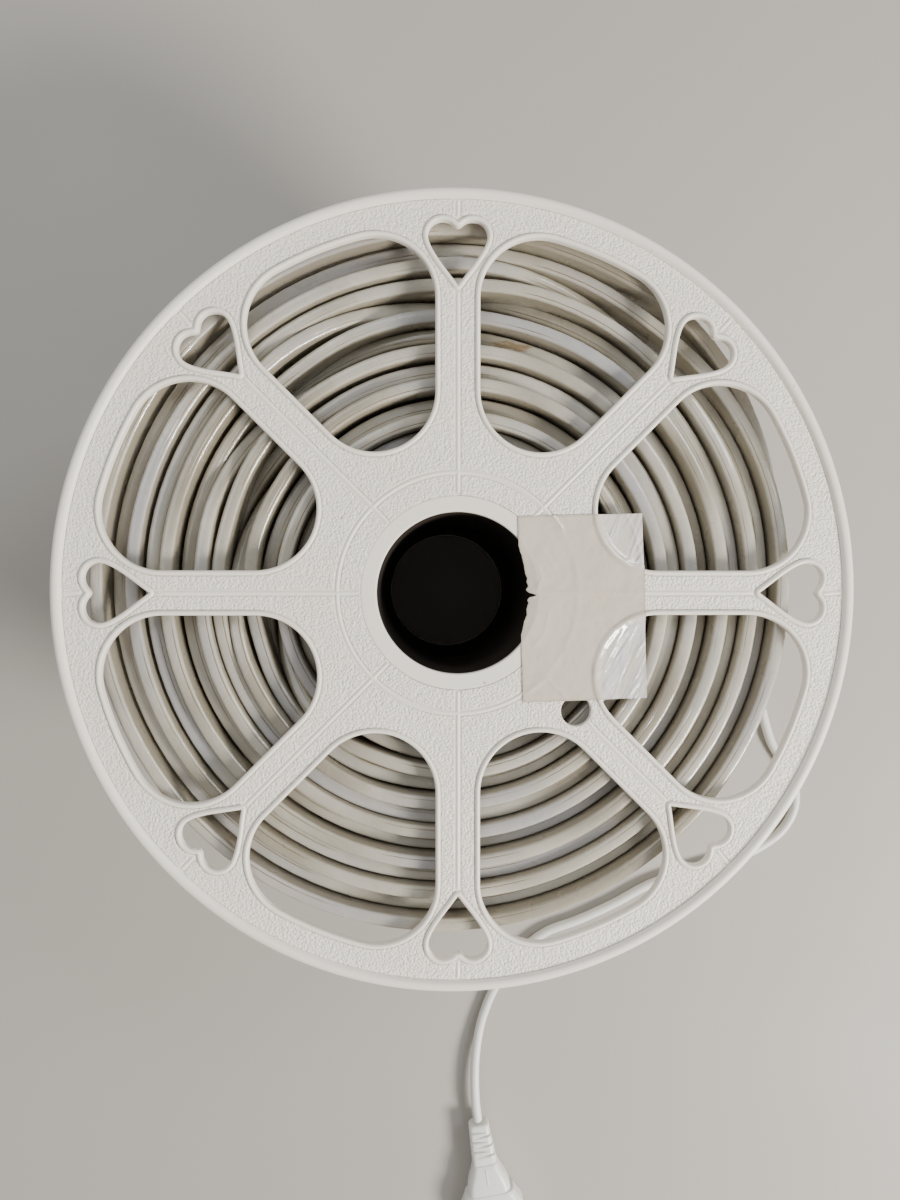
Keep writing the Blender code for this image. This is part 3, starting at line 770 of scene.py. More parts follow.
def pin_finish(look):
    """Nickel plating, faintly worn and uneven in gloss."""
    made, tree, shader, place = new_finish("nickel pin")
    marks = noise_value(tree, place, 700.0, 4.0)
    plating = mix_colours(tree, ramp(tree, marks, 0.35, 0.7), look.metal_colour, PIN_WORN_COLOUR)
    tree.links.new(plating, shader.inputs["Base Color"])
    tree.links.new(ramp(tree, marks, 0.3, 0.7, 0.18, 0.34), shader.inputs["Roughness"])
    set_values(shader, {"Metallic": 1.0})
    add_bump(tree, shader, marks, 0.00003)
    arrange(tree)
    return made


def floor_finish(look):
    """A plain pale floor, faintly uneven in gloss."""
    made, tree, shader, place = new_finish("floor")
    feed(tree, shader.inputs["Base Color"], look.floor_colour)
    clouds = noise_value(tree, place, 6.0, 3.0)
    tree.links.new(ramp(tree, clouds, 0.3, 0.7, 0.5, 0.65), shader.inputs["Roughness"])
    arrange(tree)
    return made


# Flanges

RIM_STEPS = 288
BORE_STEPS = 144
RING_LINE_STEPS = 160
KEY_HOLE_STEPS = 32
SPOKE_LINE_STEP = 3.4 * MM
LEVEL_WITH_PLATE = 0.02 * MM

# How far a spoke's lines stay clear of the beads and the rim, and of a heart's lobe, in millimetres
LINE_CLEAR = 0.2
LOBE_CLEAR = 0.25

# How far they stay clear of the hub's ring and of the key hole's edge, in metres
HUB_CLEAR = 0.95 * MM
KEY_HOLE_CLEAR = 1.1 * MM

# Where grain and the darker band at the feet lie: how far an opening reaches from its middle, how deep a
# point may lie to be on the plate's face, where that face ends at the rim, and the feet of the rim and of
# the hub's ring, each with half its width
OPENING_REACH = 70 * MM
FACE_DEPTH = 0.3 * MM
FACE_END = FLANGE_RADIUS - 4.4 * MM
RIM_FOOT = (4.45 * MM, 0.1 * MM)
HUB_FOOT = (0.05 * MM, 0.15 * MM)

# The lip that sits in the drum, in millimetres: how far out from its face, and over the plate's underside
LIP_PROFILE = ((0.0, 0.2), (0.0, -3.7), (-0.3, -4.0), (-2.2, -4.0), (-2.5, -3.7), (-2.5, 0.2))


class Outlines:
    """Loops and lines in the plane, with a height for each point, to be joined into one surface."""

    def __init__(self):
        self.points = []
        self.heights = []
        self.edges = []
        self.holes = []

    def add_loop(self, points, height):
        """A closed loop at one height. Returns the places of its points."""
        first = sum(map(len, self.points))
        places = np.arange(first, first + len(points))
        self.points.append(points)
        self.heights.append(np.full(len(points), height))
        self.edges += list(zip(places.tolist(), np.roll(places, -1).tolist()))
        return places

    def add_line(self, points):
        """An open line whose heights come from the surface's own relief."""
        first = sum(map(len, self.points))
        self.points.append(points)
        self.heights.append(np.full(len(points), np.nan))
        self.edges += [(first + k, first + k + 1) for k in range(len(points) - 1)]

    def add_hole(self, outline, centre, profile):
        """Loops round an opening. The first one is its edge, inside which nothing is filled."""
        loops = [self.add_loop(loop_outside(outline, centre, distance * MM), height * MM)
                 for distance, height in profile]
        self.holes.append(loops[0])

    def surface(self, relief):
        """Points and triangles between the loops, with the place of each given point in them."""
        flat = np.vstack(self.points)
        heights = np.concatenate(self.heights)
        placed, _, faces, origins, _, _ = geometry.delaunay_2d_cdt(
            [Vector(point) for point in flat], self.edges, [], 0, 1e-7)
        placed = np.array([tuple(point) for point in placed])
        found = np.zeros(len(flat), dtype=int)
        level = np.full(len(placed), np.nan)
        for k, sources in enumerate(origins):
            for source in sources:
                found[source] = k
                level[k] = heights[source]
        free = np.isnan(level)
        level[free] = relief(placed[free])
        hole_of = np.zeros(len(placed), dtype=int)
        for number, edge in enumerate(self.holes, start=1):
            hole_of[found[edge]] = number
        corners = np.array([face for face in faces if len(face) == 3])
        owner = hole_of[corners]
        in_hole = (owner[:, 0] > 0) & (owner[:, 0] == owner[:, 1]) & (owner[:, 1] == owner[:, 2])
        return np.column_stack((placed, level)), corners[~in_hole], found


def line_relief(points):
    """Height of the moulded ring line and spoke lines at points of the plate."""
    radii = np.linalg.norm(points, axis=1)
    angles = np.arctan2(points[:, 1], points[:, 0])
    turn = 2 * SPOKE_HALF_ANGLE
    from_spoke = np.abs(radii * np.sin(angles - np.round(angles / turn) * turn))
    reach, height = np.array(LINE_PROFILE).T * MM
    spoke = np.interp(from_spoke, reach, height)
    ring = np.interp(np.abs(radii - RING_LINE_RADIUS), reach, height)
    high = np.maximum(spoke, ring)
    return np.where(high > LEVEL_WITH_PLATE, high, np.minimum(spoke, ring))


def plate_holes():
    """Outline, centre and relief of each opening of the plate, the key hole last."""
    window = window_outline()
    heart = heart_outline()
    window_middle = np.array([(WINDOW_OUTER_RADIUS + WINDOW_INNER_END) / 2, 0.0])
    heart_middle = np.array([HEART_TOP_RADIUS - HEART_LENGTH * 0.38, 0.0])
    holes = []
    for k in range(SPOKE_COUNT):
        spoke = 2 * SPOKE_HALF_ANGLE * k
        between = spoke + SPOKE_HALF_ANGLE
        holes.append((turned_by(window, between), turned_by(window_middle, between), BEAD_PROFILE))
        holes.append((turned_by(heart, spoke), turned_by(heart_middle, spoke), BEAD_PROFILE))
    key_middle = turned_by(np.array([KEY_HOLE_PLACE, 0.0]), -2 * SPOKE_HALF_ANGLE)
    holes.append((circle(KEY_HOLE_RADIUS, KEY_HOLE_STEPS) + key_middle, key_middle, HOLE_EDGE_PROFILE))
    return holes


def both_sides(profile):
    """The places of a profile's points on both sides of its middle, in metres."""
    return [side * reach * MM for reach, _ in profile for side in (1, -1) if reach > 0 or side > 0]


def spoke_lines():
    """The lines along each spoke: stretches from the hub to the heart, and from the heart to the rim."""
    lines = []
    offsets = both_sides(LINE_PROFILE)
    lobe = HEART_WIDTH / 4
    lobe_middle = HEART_TOP_RADIUS - lobe
    clear = lobe + (BEAD_PROFILE[-1][0] + LOBE_CLEAR) * MM
    inner = HUB_RING_RADIUS + HUB_CLEAR
    tip = HEART_TOP_RADIUS - HEART_LENGTH - (BEAD_PROFILE[-1][0] + LINE_CLEAR) * MM
    rim = FLANGE_RADIUS + (RIM_PROFILE[0][0] - LINE_CLEAR) * MM
    key_edge = KEY_HOLE_RADIUS + KEY_HOLE_CLEAR
    for k in range(SPOKE_COUNT):
        angle = 2 * SPOKE_HALF_ANGLE * k
        has_key_hole = k == SPOKE_COUNT - 1
        for offset in offsets:
            notch = lobe_middle + math.sqrt(clear ** 2 - (lobe - abs(offset)) ** 2)
            stretches = [(inner, tip), (notch, rim)]
            if has_key_hole:
                stretches[:1] = [(inner, KEY_HOLE_PLACE - key_edge), (KEY_HOLE_PLACE + key_edge, tip)]
            for start, end in stretches:
                count = max(2, round((end - start) / SPOKE_LINE_STEP))
                along = np.linspace(start, end, count + 1)
                lines.append(turned_by(np.column_stack((along, np.full(count + 1, offset))), angle))
    return lines


def flange_moulding():
    """Points, faces and masks of one flange, its plate's outer face up at height 0."""
    holes = plate_holes()
    top = Outlines()
    rim = [top.add_loop(circle(FLANGE_RADIUS + place * MM, RIM_STEPS), height * MM)
           for place, height in RIM_PROFILE]
    bore = circle(BORE_RADIUS, BORE_STEPS)
    top.add_hole(bore, np.zeros(2), HUB_PROFILE)
    for place, height in HUB_STEP_PROFILE:
        top.add_loop(circle(HUB_RING_RADIUS + place * MM, BORE_STEPS), height * MM)
    for outline, centre, profile in holes:
        top.add_hole(outline, centre, profile)
    for offset in both_sides(LINE_PROFILE):
        line = circle(RING_LINE_RADIUS + offset, RING_LINE_STEPS)
        top.add_line(np.vstack((line, line[:1])))
    for line in spoke_lines():
        top.add_line(line)
    points, faces, found = top.surface(line_relief)

    under = Outlines()
    under_rim = under.add_loop(circle(FLANGE_RADIUS - 1.0 * MM, RIM_STEPS), -PLATE_THICKNESS)
    lifted = [(reach, height - PLATE_THICKNESS / MM) for reach, height in UNDER_EDGE]
    under.add_hole(bore, np.zeros(2), lifted)
    for outline, centre, _ in holes:
        under.add_hole(outline, centre, lifted)
    under_points, under_faces, under_found = under.surface(lambda flat: np.full(len(flat), -PLATE_THICKNESS))

    everything = [points, under_points]
    shift = len(points)
    total = shift + len(under_points)
    quads = []

    def join(upper, lower):
        """Faces between two loops of equally many points."""
        for k in range(len(upper)):
            quads.append((upper[k - 1], lower[k - 1], lower[k], upper[k]))

    for upper, lower in zip(top.holes, under.holes):
        join(found[upper][::-1], under_found[lower][::-1] + shift)
    last = found[rim[-1]]
    for place, height in RIM_SIDE_PROFILE:
        ring = circle(FLANGE_RADIUS + place * MM, RIM_STEPS)
        everything.append(np.column_stack((ring, np.full(len(ring), height * MM))))
        places = np.arange(total, total + len(ring))
        join(last, places)
        last = places
        total += len(ring)
    join(last, under_found[under_rim] + shift)

    lip_outer = DRUM_RADIUS - CORE_WALL - FIT
    lip = [(lip_outer + place * MM, height * MM - PLATE_THICKNESS) for place, height in LIP_PROFILE]
    lip_points, lip_faces = turned(lip, 96)
    everything.append(lip_points)
    quads += [tuple(corner + total for corner in face) for face in lip_faces]

    all_points = np.vstack(everything)
    all_faces = faces.tolist() + [tuple(face[::-1] + shift) for face in under_faces] + quads
    return all_points, [tuple(map(int, face)) for face in all_faces], holes


def flange_masks(points, holes):
    """Grain and darkening of each point: grain on the flat plate, a darker band in the grooves at the feet
    of the beads, the rim and the hub's ring.
    """
    flat = points[:, :2]
    radii = np.linalg.norm(flat, axis=1)
    nearest = np.ones(len(points))
    for outline, _, profile in holes:
        if profile is not BEAD_PROFILE:
            continue
        middle = outline.mean(axis=0)
        close = np.linalg.norm(flat - middle, axis=1) < OPENING_REACH
        nearest[close] = np.minimum(nearest[close], distance_to(outline, flat[close]))
    nearest /= MM
    on_plate = (points[:, 2] > -FACE_DEPTH) & (radii > HUB_RING_RADIUS) & (radii < FACE_END)
    grain = on_plate & (nearest > GRAIN_FROM) & (np.abs(line_relief(flat)) < LEVEL_WITH_PLATE)
    foot = (nearest > DARK_FOOT_BAND[0]) & (nearest < DARK_FOOT_BAND[1])
    rim_foot = np.abs(radii - FLANGE_RADIUS + RIM_FOOT[0]) < RIM_FOOT[1]
    hub_foot = np.abs(radii - HUB_RING_RADIUS - HUB_FOOT[0]) < HUB_FOOT[1]
    return grain.astype(float), ((foot & on_plate) | rim_foot | hub_foot).astype(float)


def make_flanges(look):
    """Both flanges, one moulding: the front one face up, the back one face down."""
    points, faces, holes = flange_moulding()
    grain, soil = flange_masks(points, holes)
    finish = flange_finish(look)
    turn_over = np.array((1.0, -1.0, -1.0))
    for name, node, placed in (
        ("front_flange", "flange_front", points + (0.0, 0.0, PLATE_FACE)),
        ("back_flange", "flange_back", points * turn_over + (0.0, 0.0, RIM_STAND)),
    ):
        mesh = mesh_from(name, placed, faces)
        set_mask(mesh, "grain", grain)
        set_mask(mesh, "soil", soil)
        piece = new_piece(name, mesh, [finish], smooth_angle=48)
        settle(piece, node)


# Core


def make_core(look):
    """The dark core: a bore tube and a drum with softened ends, joined half way by a web."""
    tube_in = BORE_RADIUS + FIT
    tube_out = tube_in + CORE_WALL
    drum_in = DRUM_RADIUS - CORE_WALL
    middle = (CORE_LOW + CORE_HIGH) / 2
    web_low = middle - CORE_WEB / 2
    web_high = middle + CORE_WEB / 2
    soft = 0.5 * MM
    profile = [
        (tube_in, CORE_LOW + soft), (tube_in + soft, CORE_LOW), (tube_out, CORE_LOW),
        (tube_out, web_low), (drum_in, web_low), (drum_in, CORE_LOW),
        (DRUM_RADIUS - soft, CORE_LOW), (DRUM_RADIUS, CORE_LOW + soft),
        (DRUM_RADIUS, middle - soft), (DRUM_RADIUS - 0.2 * MM, middle), (DRUM_RADIUS, middle + soft),
        (DRUM_RADIUS, CORE_HIGH - soft), (DRUM_RADIUS - soft, CORE_HIGH), (drum_in, CORE_HIGH),
        (drum_in, web_high), (tube_out, web_high), (tube_out, CORE_HIGH),
        (tube_in + soft, CORE_HIGH), (tube_in, CORE_HIGH - soft), (tube_in, middle + soft),
        (tube_in + 0.15 * MM, middle), (tube_in, middle - soft),
    ]
    mesh = mesh_from("core_tube", *turned(profile, CORE_SEGMENTS))
    piece = new_piece("core_tube", mesh, [core_finish(look)], smooth_angle=40)
    settle(piece, "reel_core")


# Wound strip

# How far the end of each layer lies below the highest, innermost layer first, in millimetres
LAYER_DROPS = (5.0, 1.0, 6.5, 0.5, 4.0, 1.2, 7.5, 0.8, 5.0, 1.5, 6.5, 0.0)

# Where the first two rows along the front flange start, in degrees, and how much earlier each
# later pair does. Then how many turns the rows and the layers take
FIRST_ROWS_START = 198.0
ROWS_START_STEP = 36.0
ROWS_TURNS = 1.9
ROW_STEP_OUT = (0.94, 1.06)
FIRST_CROSSING_TURNS = 4.7
PAIR_TURNS = 11.4
LAST_TURNS = 8.0
LAST_ROW_TURNS = 1.05
QUICK_TURNS = 0.10
STEPS_PER_TURN = 96
LEVEL_EASING_STEPS = 9
CLEARING_STEPS = 3
CLEARING_GAP = 0.15 * MM
CLEARING_SHARE = 0.6
TOP_LEVEL = 144.5 * MM
BOTTOM_LEVEL = 13.5 * MM
CONNECTOR_RAMP_TURNS = 0.085
CONNECTOR_INSERTION = 5.0 * MM

# How unevenly the strip is laid: waves of its level, each with height, rate for a turn and start,
# their least share in the last turns, and the wave of its radius
LEVEL_WAVES = ((0.45, 2.9, 0.0), (0.35, 7.3, 1.0))
LEAST_WAVES = 0.2
RADIUS_WAVE = (0.10 * MM, 11.7)


def turns_between(start, end, about):
    """Turns from one angle down to another, in degrees, with the whole turns nearest to a wish."""
    share = (start - end) / 360 % 1
    return round(about - share) + share


def winding_stations(width):
    """Turn, level and layer wherever the strip's course changes, from the core outwards."""
    stations = [(0.0, BOTTOM_LEVEL + LAYER_DROPS[0] * MM, 0), (1.0, BOTTOM_LEVEL + LAYER_DROPS[0] * MM, 0.3)]

    def cross(turns, level, layer, last_row=0.0):
        """A layer laid across the reel, quick at both ends so that it clears its own rows."""
        start, last_level, _ = stations[-1]
        away = math.copysign(width + 0.2 * MM, level - last_level)
        stations.append((start + QUICK_TURNS, last_level + away, layer))
        stations.append((start + turns - last_row - QUICK_TURNS, level - away, layer))
        stations.append((start + turns - last_row, level, layer - (0.0 if last_row else 0.5)))

    def top(layer):
        """Level of a layer's end at the front flange."""
        return TOP_LEVEL - LAYER_DROPS[layer] * MM

    def bottom(layer):
        """Level of a layer's end at the back flange."""
        return BOTTOM_LEVEL + LAYER_DROPS[layer] * MM

    def rows(first, level_of):
        """Two rows side by side along a flange, on which the strip steps out by two layers."""
        start = stations[-1][0]
        for layer, begin, end in ((first, 0.0, ROW_STEP_OUT[0]), (first + 1, ROW_STEP_OUT[1], ROWS_TURNS)):
            stations.append((start + begin, level_of(layer), first - 0.5 + begin))
            stations.append((start + end, level_of(layer), first - 0.5 + end))

    cross(FIRST_CROSSING_TURNS, top(0), 0)
    for first in range(0, len(LAYER_DROPS), 2):
        rows(first, top)
        layer = first + 1
        start = FIRST_ROWS_START - ROWS_START_STEP * first / 2 - 360 * ROWS_TURNS
        if layer == len(LAYER_DROPS) - 1:
            turns = turns_between(start, math.degrees(CONNECTOR_START_ANGLE), LAST_TURNS)
            cross(turns, CONNECTOR_LEVEL, layer, LAST_ROW_TURNS)
            stations.append((stations[-1][0] + LAST_ROW_TURNS, CONNECTOR_LEVEL, layer))
        else:
            next_start = start + 360 * ROWS_TURNS - ROWS_START_STEP
            crossing = (turns_between(start, next_start, PAIR_TURNS) - ROWS_TURNS) / 2
            cross(crossing, bottom(layer), layer)
            rows(layer, bottom)
            cross(crossing, top(layer + 1), layer + 1)
    return np.array(stations)


def eased(values, reach):
    """A line of numbers with its corners rounded over a number of steps."""
    kernel = np.hanning(reach + 2)[1:-1]
    padded = np.pad(values, reach // 2, mode="edge")
    return np.convolve(padded, kernel / kernel.sum(), mode="valid")


def laid_radius(level, wanted, width, thickness):
    """How far out each point lies: as wanted, or pushed out by the turns laid under it before."""
    reach = CLEARING_STEPS
    block = STEPS_PER_TURN - 2 * reach
    push = np.zeros(len(level))
    radius = wanted.copy()
    for start in range(0, len(level), block):
        stop = min(start + block, len(level))
        ahead = np.arange(start + 2 * reach if start else 0, min(stop + 2 * reach, len(level)))
        below = ahead - STEPS_PER_TURN
        while len(below) and below[-1] >= 0:
            chosen = (below >= 0) & (np.abs(level[ahead] - level[below]) < width)
            places = ahead[chosen]
            pushed = radius[below[chosen]] + thickness + CLEARING_GAP - wanted[places]
            push[places] = np.maximum(push[places], pushed)
            below = below - STEPS_PER_TURN
        low = max(start - 2 * reach, 0)
        window = np.pad(push[low:stop + 2 * reach], reach, mode="edge")
        widest = np.lib.stride_tricks.sliding_window_view(window, 2 * reach + 1).max(axis=1)
        radius[start:stop] += eased(widest, 2 * reach + 1)[start - low:stop - low]
    return radius


def winding_path(look):
    """Points along the middle of the strip, from the core to inside the feed connector."""
    stations = winding_stations(look.strip_width)
    total = stations[-1][0]
    turns = total - np.arange(int(total * STEPS_PER_TURN), -1, -1) / STEPS_PER_TURN
    level = eased(np.interp(turns, stations[:, 0], stations[:, 1]), LEVEL_EASING_STEPS)
    layer = np.interp(turns, stations[:, 0], stations[:, 2])
    angle = CONNECTOR_START_ANGLE + 2 * math.pi * (total - turns)
    unevenness = np.clip((total - LAST_TURNS - turns) / 2, LEAST_WAVES, 1) * MM
    level += unevenness * sum(rise * np.sin(turns * rate + phase) for rise, rate, phase in LEVEL_WAVES)
    wanted = DRUM_RADIUS + FIT + look.layer_pitch * (np.maximum(layer, 0) + 0.5)
    wanted += look.lean * layer / (len(LAYER_DROPS) - 1) * np.cos(angle - look.lean_angle)
    wanted += RADIUS_WAVE[0] * np.sin(turns * RADIUS_WAVE[1])
    radius = laid_radius(level, wanted, look.strip_width * CLEARING_SHARE, look.strip_thickness)
    ramp_share = np.clip((turns - total + CONNECTOR_RAMP_TURNS) / CONNECTOR_RAMP_TURNS, 0, 1)
    ramp_share = ramp_share ** 2 * (3 - 2 * ramp_share)
    radius += (CONNECTOR_RADIUS - radius) * ramp_share
    level += (CONNECTOR_LEVEL - level) * ramp_share
    inside = CONNECTOR_START_ANGLE - CONNECTOR_INSERTION / CONNECTOR_RADIUS
    angle = np.append(angle, inside)
    radius = np.append(radius, CONNECTOR_RADIUS)
    level = np.append(level, CONNECTOR_LEVEL)
    return np.column_stack((radius * np.cos(angle), radius * np.sin(angle), level))


def node_inputs(tree, sockets):
    """Adds a geometry tree's inputs and returns the sockets that give them."""
    tree.interface.new_socket(name="Geometry", in_out="INPUT", socket_type="NodeSocketGeometry")
    tree.interface.new_socket(name="Geometry", in_out="OUTPUT", socket_type="NodeSocketGeometry")
    for name, kind, default in sockets:
        socket = tree.interface.new_socket(name=name, in_out="INPUT", socket_type=kind)
        if default is not None:
            socket.default_value = default
    return tree.nodes.new("NodeGroupInput").outputs


def build_strip_sweep():
    """Geometry nodes that sweep the strip's rounded section along the path it is given."""
    tree = bpy.data.node_groups.new("Strip sweep", "GeometryNodeTree")
    tree.is_modifier = True
    given = node_inputs(tree, (
        ("Width", "NodeSocketFloat", 0.015),
        ("Thickness", "NodeSocketFloat", 0.005),
        ("Corner radius", "NodeSocketFloat", 0.0016),
        ("Finish", "NodeSocketMaterial", None),
    ))
    path = add_node(tree, "GeometryNodeMeshToCurve", {"Mesh": given["Geometry"]})
    upright = add_node(tree, "GeometryNodeSetCurveNormal", {"Curve": path.outputs[0]}, mode="Z_UP")
    section = add_node(tree, "GeometryNodeCurvePrimitiveQuadrilateral",
                       {"Width": given["Thickness"], "Height": given["Width"]}, mode="RECTANGLE")
    rounded = add_node(tree, "GeometryNodeFilletCurve",
                       {"Curve": section.outputs[0], "Radius": given["Corner radius"], "Count": 2},
                       mode="POLY")
    place = add_node(tree, "GeometryNodeInputPosition")
    marked = add_node(tree, "GeometryNodeStoreNamedAttribute",
                      {"Geometry": rounded.outputs[0], "Name": "section"}, data_type="FLOAT_VECTOR")
    tree.links.new(place.outputs[0], next(socket for socket in marked.inputs
                                          if socket.name == "Value" and socket.type == "VECTOR"))
    swept = add_node(tree, "GeometryNodeCurveToMesh",
                     {"Curve": upright.outputs[0], "Profile Curve": marked.outputs[0], "Fill Caps": True})
    smooth = add_node(tree, "GeometryNodeSetShadeSmooth", {"Geometry": swept.outputs[0]})
    real = add_node(tree, "GeometryNodeRealizeInstances", {"Geometry": smooth.outputs[0]})
    finished = add_node(tree, "GeometryNodeSetMaterial",
                        {"Geometry": real.outputs[0], "Material": given["Finish"]})
    result = tree.nodes.new("NodeGroupOutput")
    tree.links.new(finished.outputs[0], result.inputs[0])
    arrange(tree)
    return tree


def applied_nodes(name, mesh, tree, values):
    """The mesh that a geometry tree makes of a mesh, with its inputs set by their names."""
    carrier = bpy.data.objects.new(name + "_path", mesh)
    bpy.context.scene.collection.objects.link(carrier)
    modifier = carrier.modifiers.new("nodes", "NODES")
    modifier.node_group = tree
    places = {item.name: item.identifier for item in tree.interface.items_tree
              if item.item_type == "SOCKET" and item.in_out == "INPUT"}
    for socket_name, value in values.items():
        modifier[places[socket_name]] = value
    depsgraph = bpy.context.evaluated_depsgraph_get()
    made = bpy.data.meshes.new_from_object(carrier.evaluated_get(depsgraph), depsgraph=depsgraph)
    made.name = name
    bpy.data.objects.remove(carrier, do_unlink=True)
    return made


def make_winding(look):
    """The whole strip, swept along its path through every layer of the winding."""
    points = winding_path(look)
    path = bpy.data.meshes.new("winding_path")
    path.from_pydata(points.tolist(), [(k, k + 1) for k in range(len(points) - 1)], [])
    lengths = np.linalg.norm(np.diff(points, axis=0), axis=1)
    set_mask(path, "along", np.concatenate(([0.0], np.cumsum(lengths))))
    mesh = applied_nodes("wound_led_strip", path, build_strip_sweep(),
                         {"Width": look.strip_width, "Thickness": look.strip_thickness,
                          "Corner radius": look.strip_corner, "Finish": strip_finish(look)})
    settle(new_piece("wound_led_strip", mesh, []), "led_strip_coil")


# Sticker

LABEL_ROWS = 156
LABEL_COLUMNS = 106
FILM_THICKNESS = 0.12 * MM
FILM_GAP = 0.30 * MM

# Creases in the film, in millimetres from its middle: a line of points, height and half width
CREASES = (
    (((-10.4, 34.7), (-8.6, 32.2), (-6.9, 29.6)), 0.36, 0.50),
    (((17.4, 34.7), (20.2, 28.6), (21.6, 23.0), (22.8, 17.0)), 0.34, 0.50),
    (((17.2, 17.6), (21.0, 17.0)), 0.26, 0.40),
    (((14.9, -8.6), (12.2, -13.4), (9.6, -18.4), (7.6, -23.6)), 0.36, 0.55),
    (((22.6, -13.6), (18.4, -20.6), (14.8, -27.6)), 0.24, 0.60),
    (((7.8, -28.8), (10.4, -34.6)), 0.26, 0.45),
    (((5.0, -6.2), (8.8, -6.6), (11.2, -8.4)), 0.26, 0.35),
    (((-13.0, -1.4), (-15.2, -9.8), (-18.8, -13.4)), 0.20, 0.90),
    (((-21.6, -30.9), (-14.2, -26.0), (-6.8, -34.3)), 0.24, 0.45),
    (((-18.4, 5.0), (-15.2, 11.6), (-16.0, 15.4)), 0.26, 0.50),
    (((-23.0, 28.0), (-16.0, 24.0), (-10.0, 15.0)), 0.14, 0.50),
)

# The tear at the bore, in millimetres: height of a place on the edge and how far it is torn in
TEAR = (
    (-4.0, 0.0), (-2.4, 0.5), (0.2, 0.1), (2.2, 0.7), (3.6, 0.2), (4.6, 1.0), (5.1, 4.0), (5.6, 3.2),
    (6.0, 1.2), (6.6, 0.2), (7.4, -0.4), (8.6, 0.6), (10.2, 0.1), (11.8, 0.4), (13.0, 0.0),
)

# Where the film lies over a moulded line of the plate: how high it is lifted, and half how broad
SPOKE_LINE_LIFT = 0.13 * MM
RING_LINE_LIFT = 0.12 * MM
LINE_LIFT_REACH = 1.1 * MM
SAG_REACH = 2.5 * MM
BORE_SAG = 0.22
SOILED_EDGE = 0.9 * MM

# Waves of the film: rate over a metre, place in the noise and height in millimetres of each, and
# how strong they are on the plate and how much more over an opening
FILM_WAVES = ((75, 3.1, 0.16), (190, 9.4, 0.05))
FILM_WAVES_ON_PLATE = 0.6
FILM_WAVES_OVER_GAP = 1.6


def label_grid():
    """Rows of points of the sticker in its own frame, its left edge torn along the bore."""
    half_width, half_height = (side / 2 for side in LABEL_SIZE)
    turn = Matrix.Rotation(-LABEL_TURN, 2)
    middle = turn @ Vector(LABEL_PLACE)
    spread = random.Random(7)
    rows = []
    for k in range(LABEL_ROWS + 1):
        y = half_height * (2 * k / LABEL_ROWS - 1)
        left = -half_width
        torn = LABEL_TORN_EDGE - (y + middle.y) ** 2 / LABEL_TORN_CURVE - middle.x
        if torn > left:
            left = torn + spread.uniform(-0.10, 0.16) * MM
            left += np.interp(y / MM, *np.array(TEAR).T) * MM
        shares = np.linspace(0, 1, LABEL_COLUMNS + 1)
        rows.append(np.column_stack((left + (half_width - left) * shares, np.full(LABEL_COLUMNS + 1, y))))
    return np.array(rows)


def film_relief(own, placed):
    """Height of the film over the plate, and how far it hangs in an opening, for each point."""
    height = np.zeros(len(placed))
    over_gap = np.zeros(len(placed))
    reach, lift = np.array(FILM_PROFILE).T * MM
    for turn in (-SPOKE_HALF_ANGLE, SPOKE_HALF_ANGLE):
        outline = turned_by(window_outline(), turn)
        distance = distance_to(outline, placed)
        inside = is_inside(outline, placed)
        signed = np.where(inside, -distance, distance)
        height += np.interp(signed, reach, lift)
        over_gap = np.maximum(over_gap, np.clip(-signed / SAG_REACH, 0, 1))
    flat = 1 - over_gap
    height += SPOKE_LINE_LIFT * np.exp(-(placed[:, 1] / LINE_LIFT_REACH) ** 2) * flat
    from_ring = np.linalg.norm(placed, axis=1) - RING_LINE_RADIUS
    height += RING_LINE_LIFT * np.exp(-(from_ring / LINE_LIFT_REACH) ** 2) * flat
    for line, rise, half_width in CREASES:
        away = distance_to(np.array(line) * MM, own, closed=False)
        height += rise * MM * np.exp(-away / (half_width * MM))
    for k, (x, y) in enumerate(placed):
        wave = sum(noise.noise((x * rate, y * rate, place)) * rise for rate, place, rise in FILM_WAVES)
        height[k] += wave * MM * (FILM_WAVES_ON_PLATE + FILM_WAVES_OVER_GAP * over_gap[k])
    height -= BORE_SAG * np.clip(BORE_RADIUS - np.linalg.norm(placed, axis=1), 0, None)
    return height, over_gap


def make_sticker(look):
    """The film, draped over the plate, its beads and the openings that it bridges."""
    rows = label_grid()
    own = rows.reshape(-1, 2)
    placed = turned_by(own, LABEL_TURN) + LABEL_PLACE
    height, over_gap = film_relief(own, placed)
    low = np.column_stack((placed, PLATE_FACE + FILM_GAP + height))
    high = low + (0.0, 0.0, FILM_THICKNESS)
    across = LABEL_COLUMNS + 1
    count = len(low)
    faces = []
    for row in range(LABEL_ROWS):
        for column in range(LABEL_COLUMNS):
            here = row * across + column
            square = (here, here + 1, here + across + 1, here + across)
            faces.append(tuple(corner + count for corner in square))
            faces.append(square[::-1])
    border = (list(range(LABEL_COLUMNS))
              + [row * across + LABEL_COLUMNS for row in range(LABEL_ROWS)]
              + [LABEL_ROWS * across + column for column in range(LABEL_COLUMNS, 0, -1)]
              + [row * across for row in range(LABEL_ROWS, 0, -1)])
    for k in range(len(border)):
        here, there = border[k - 1], border[k]
        faces.append((here, there, there + count, here + count))
    mesh = mesh_from("sticker", np.vstack((low, high)), faces)
    from_edge = np.minimum(np.minimum(own[:, 0] - rows[:, :1, 0].repeat(across, axis=1).ravel(),
                                      LABEL_SIZE[0] / 2 - own[:, 0]),
                           LABEL_SIZE[1] / 2 - np.abs(own[:, 1]))
    edge = np.clip(1 - from_edge / SOILED_EDGE, 0, 1)
    set_mask(mesh, "edge", np.tile(edge, 2))
    set_mask(mesh, "over_gap", np.tile(over_gap, 2))
    piece = new_piece("sticker", mesh, [film_finish(look)], smooth_angle=60)
    settle(piece, "label")


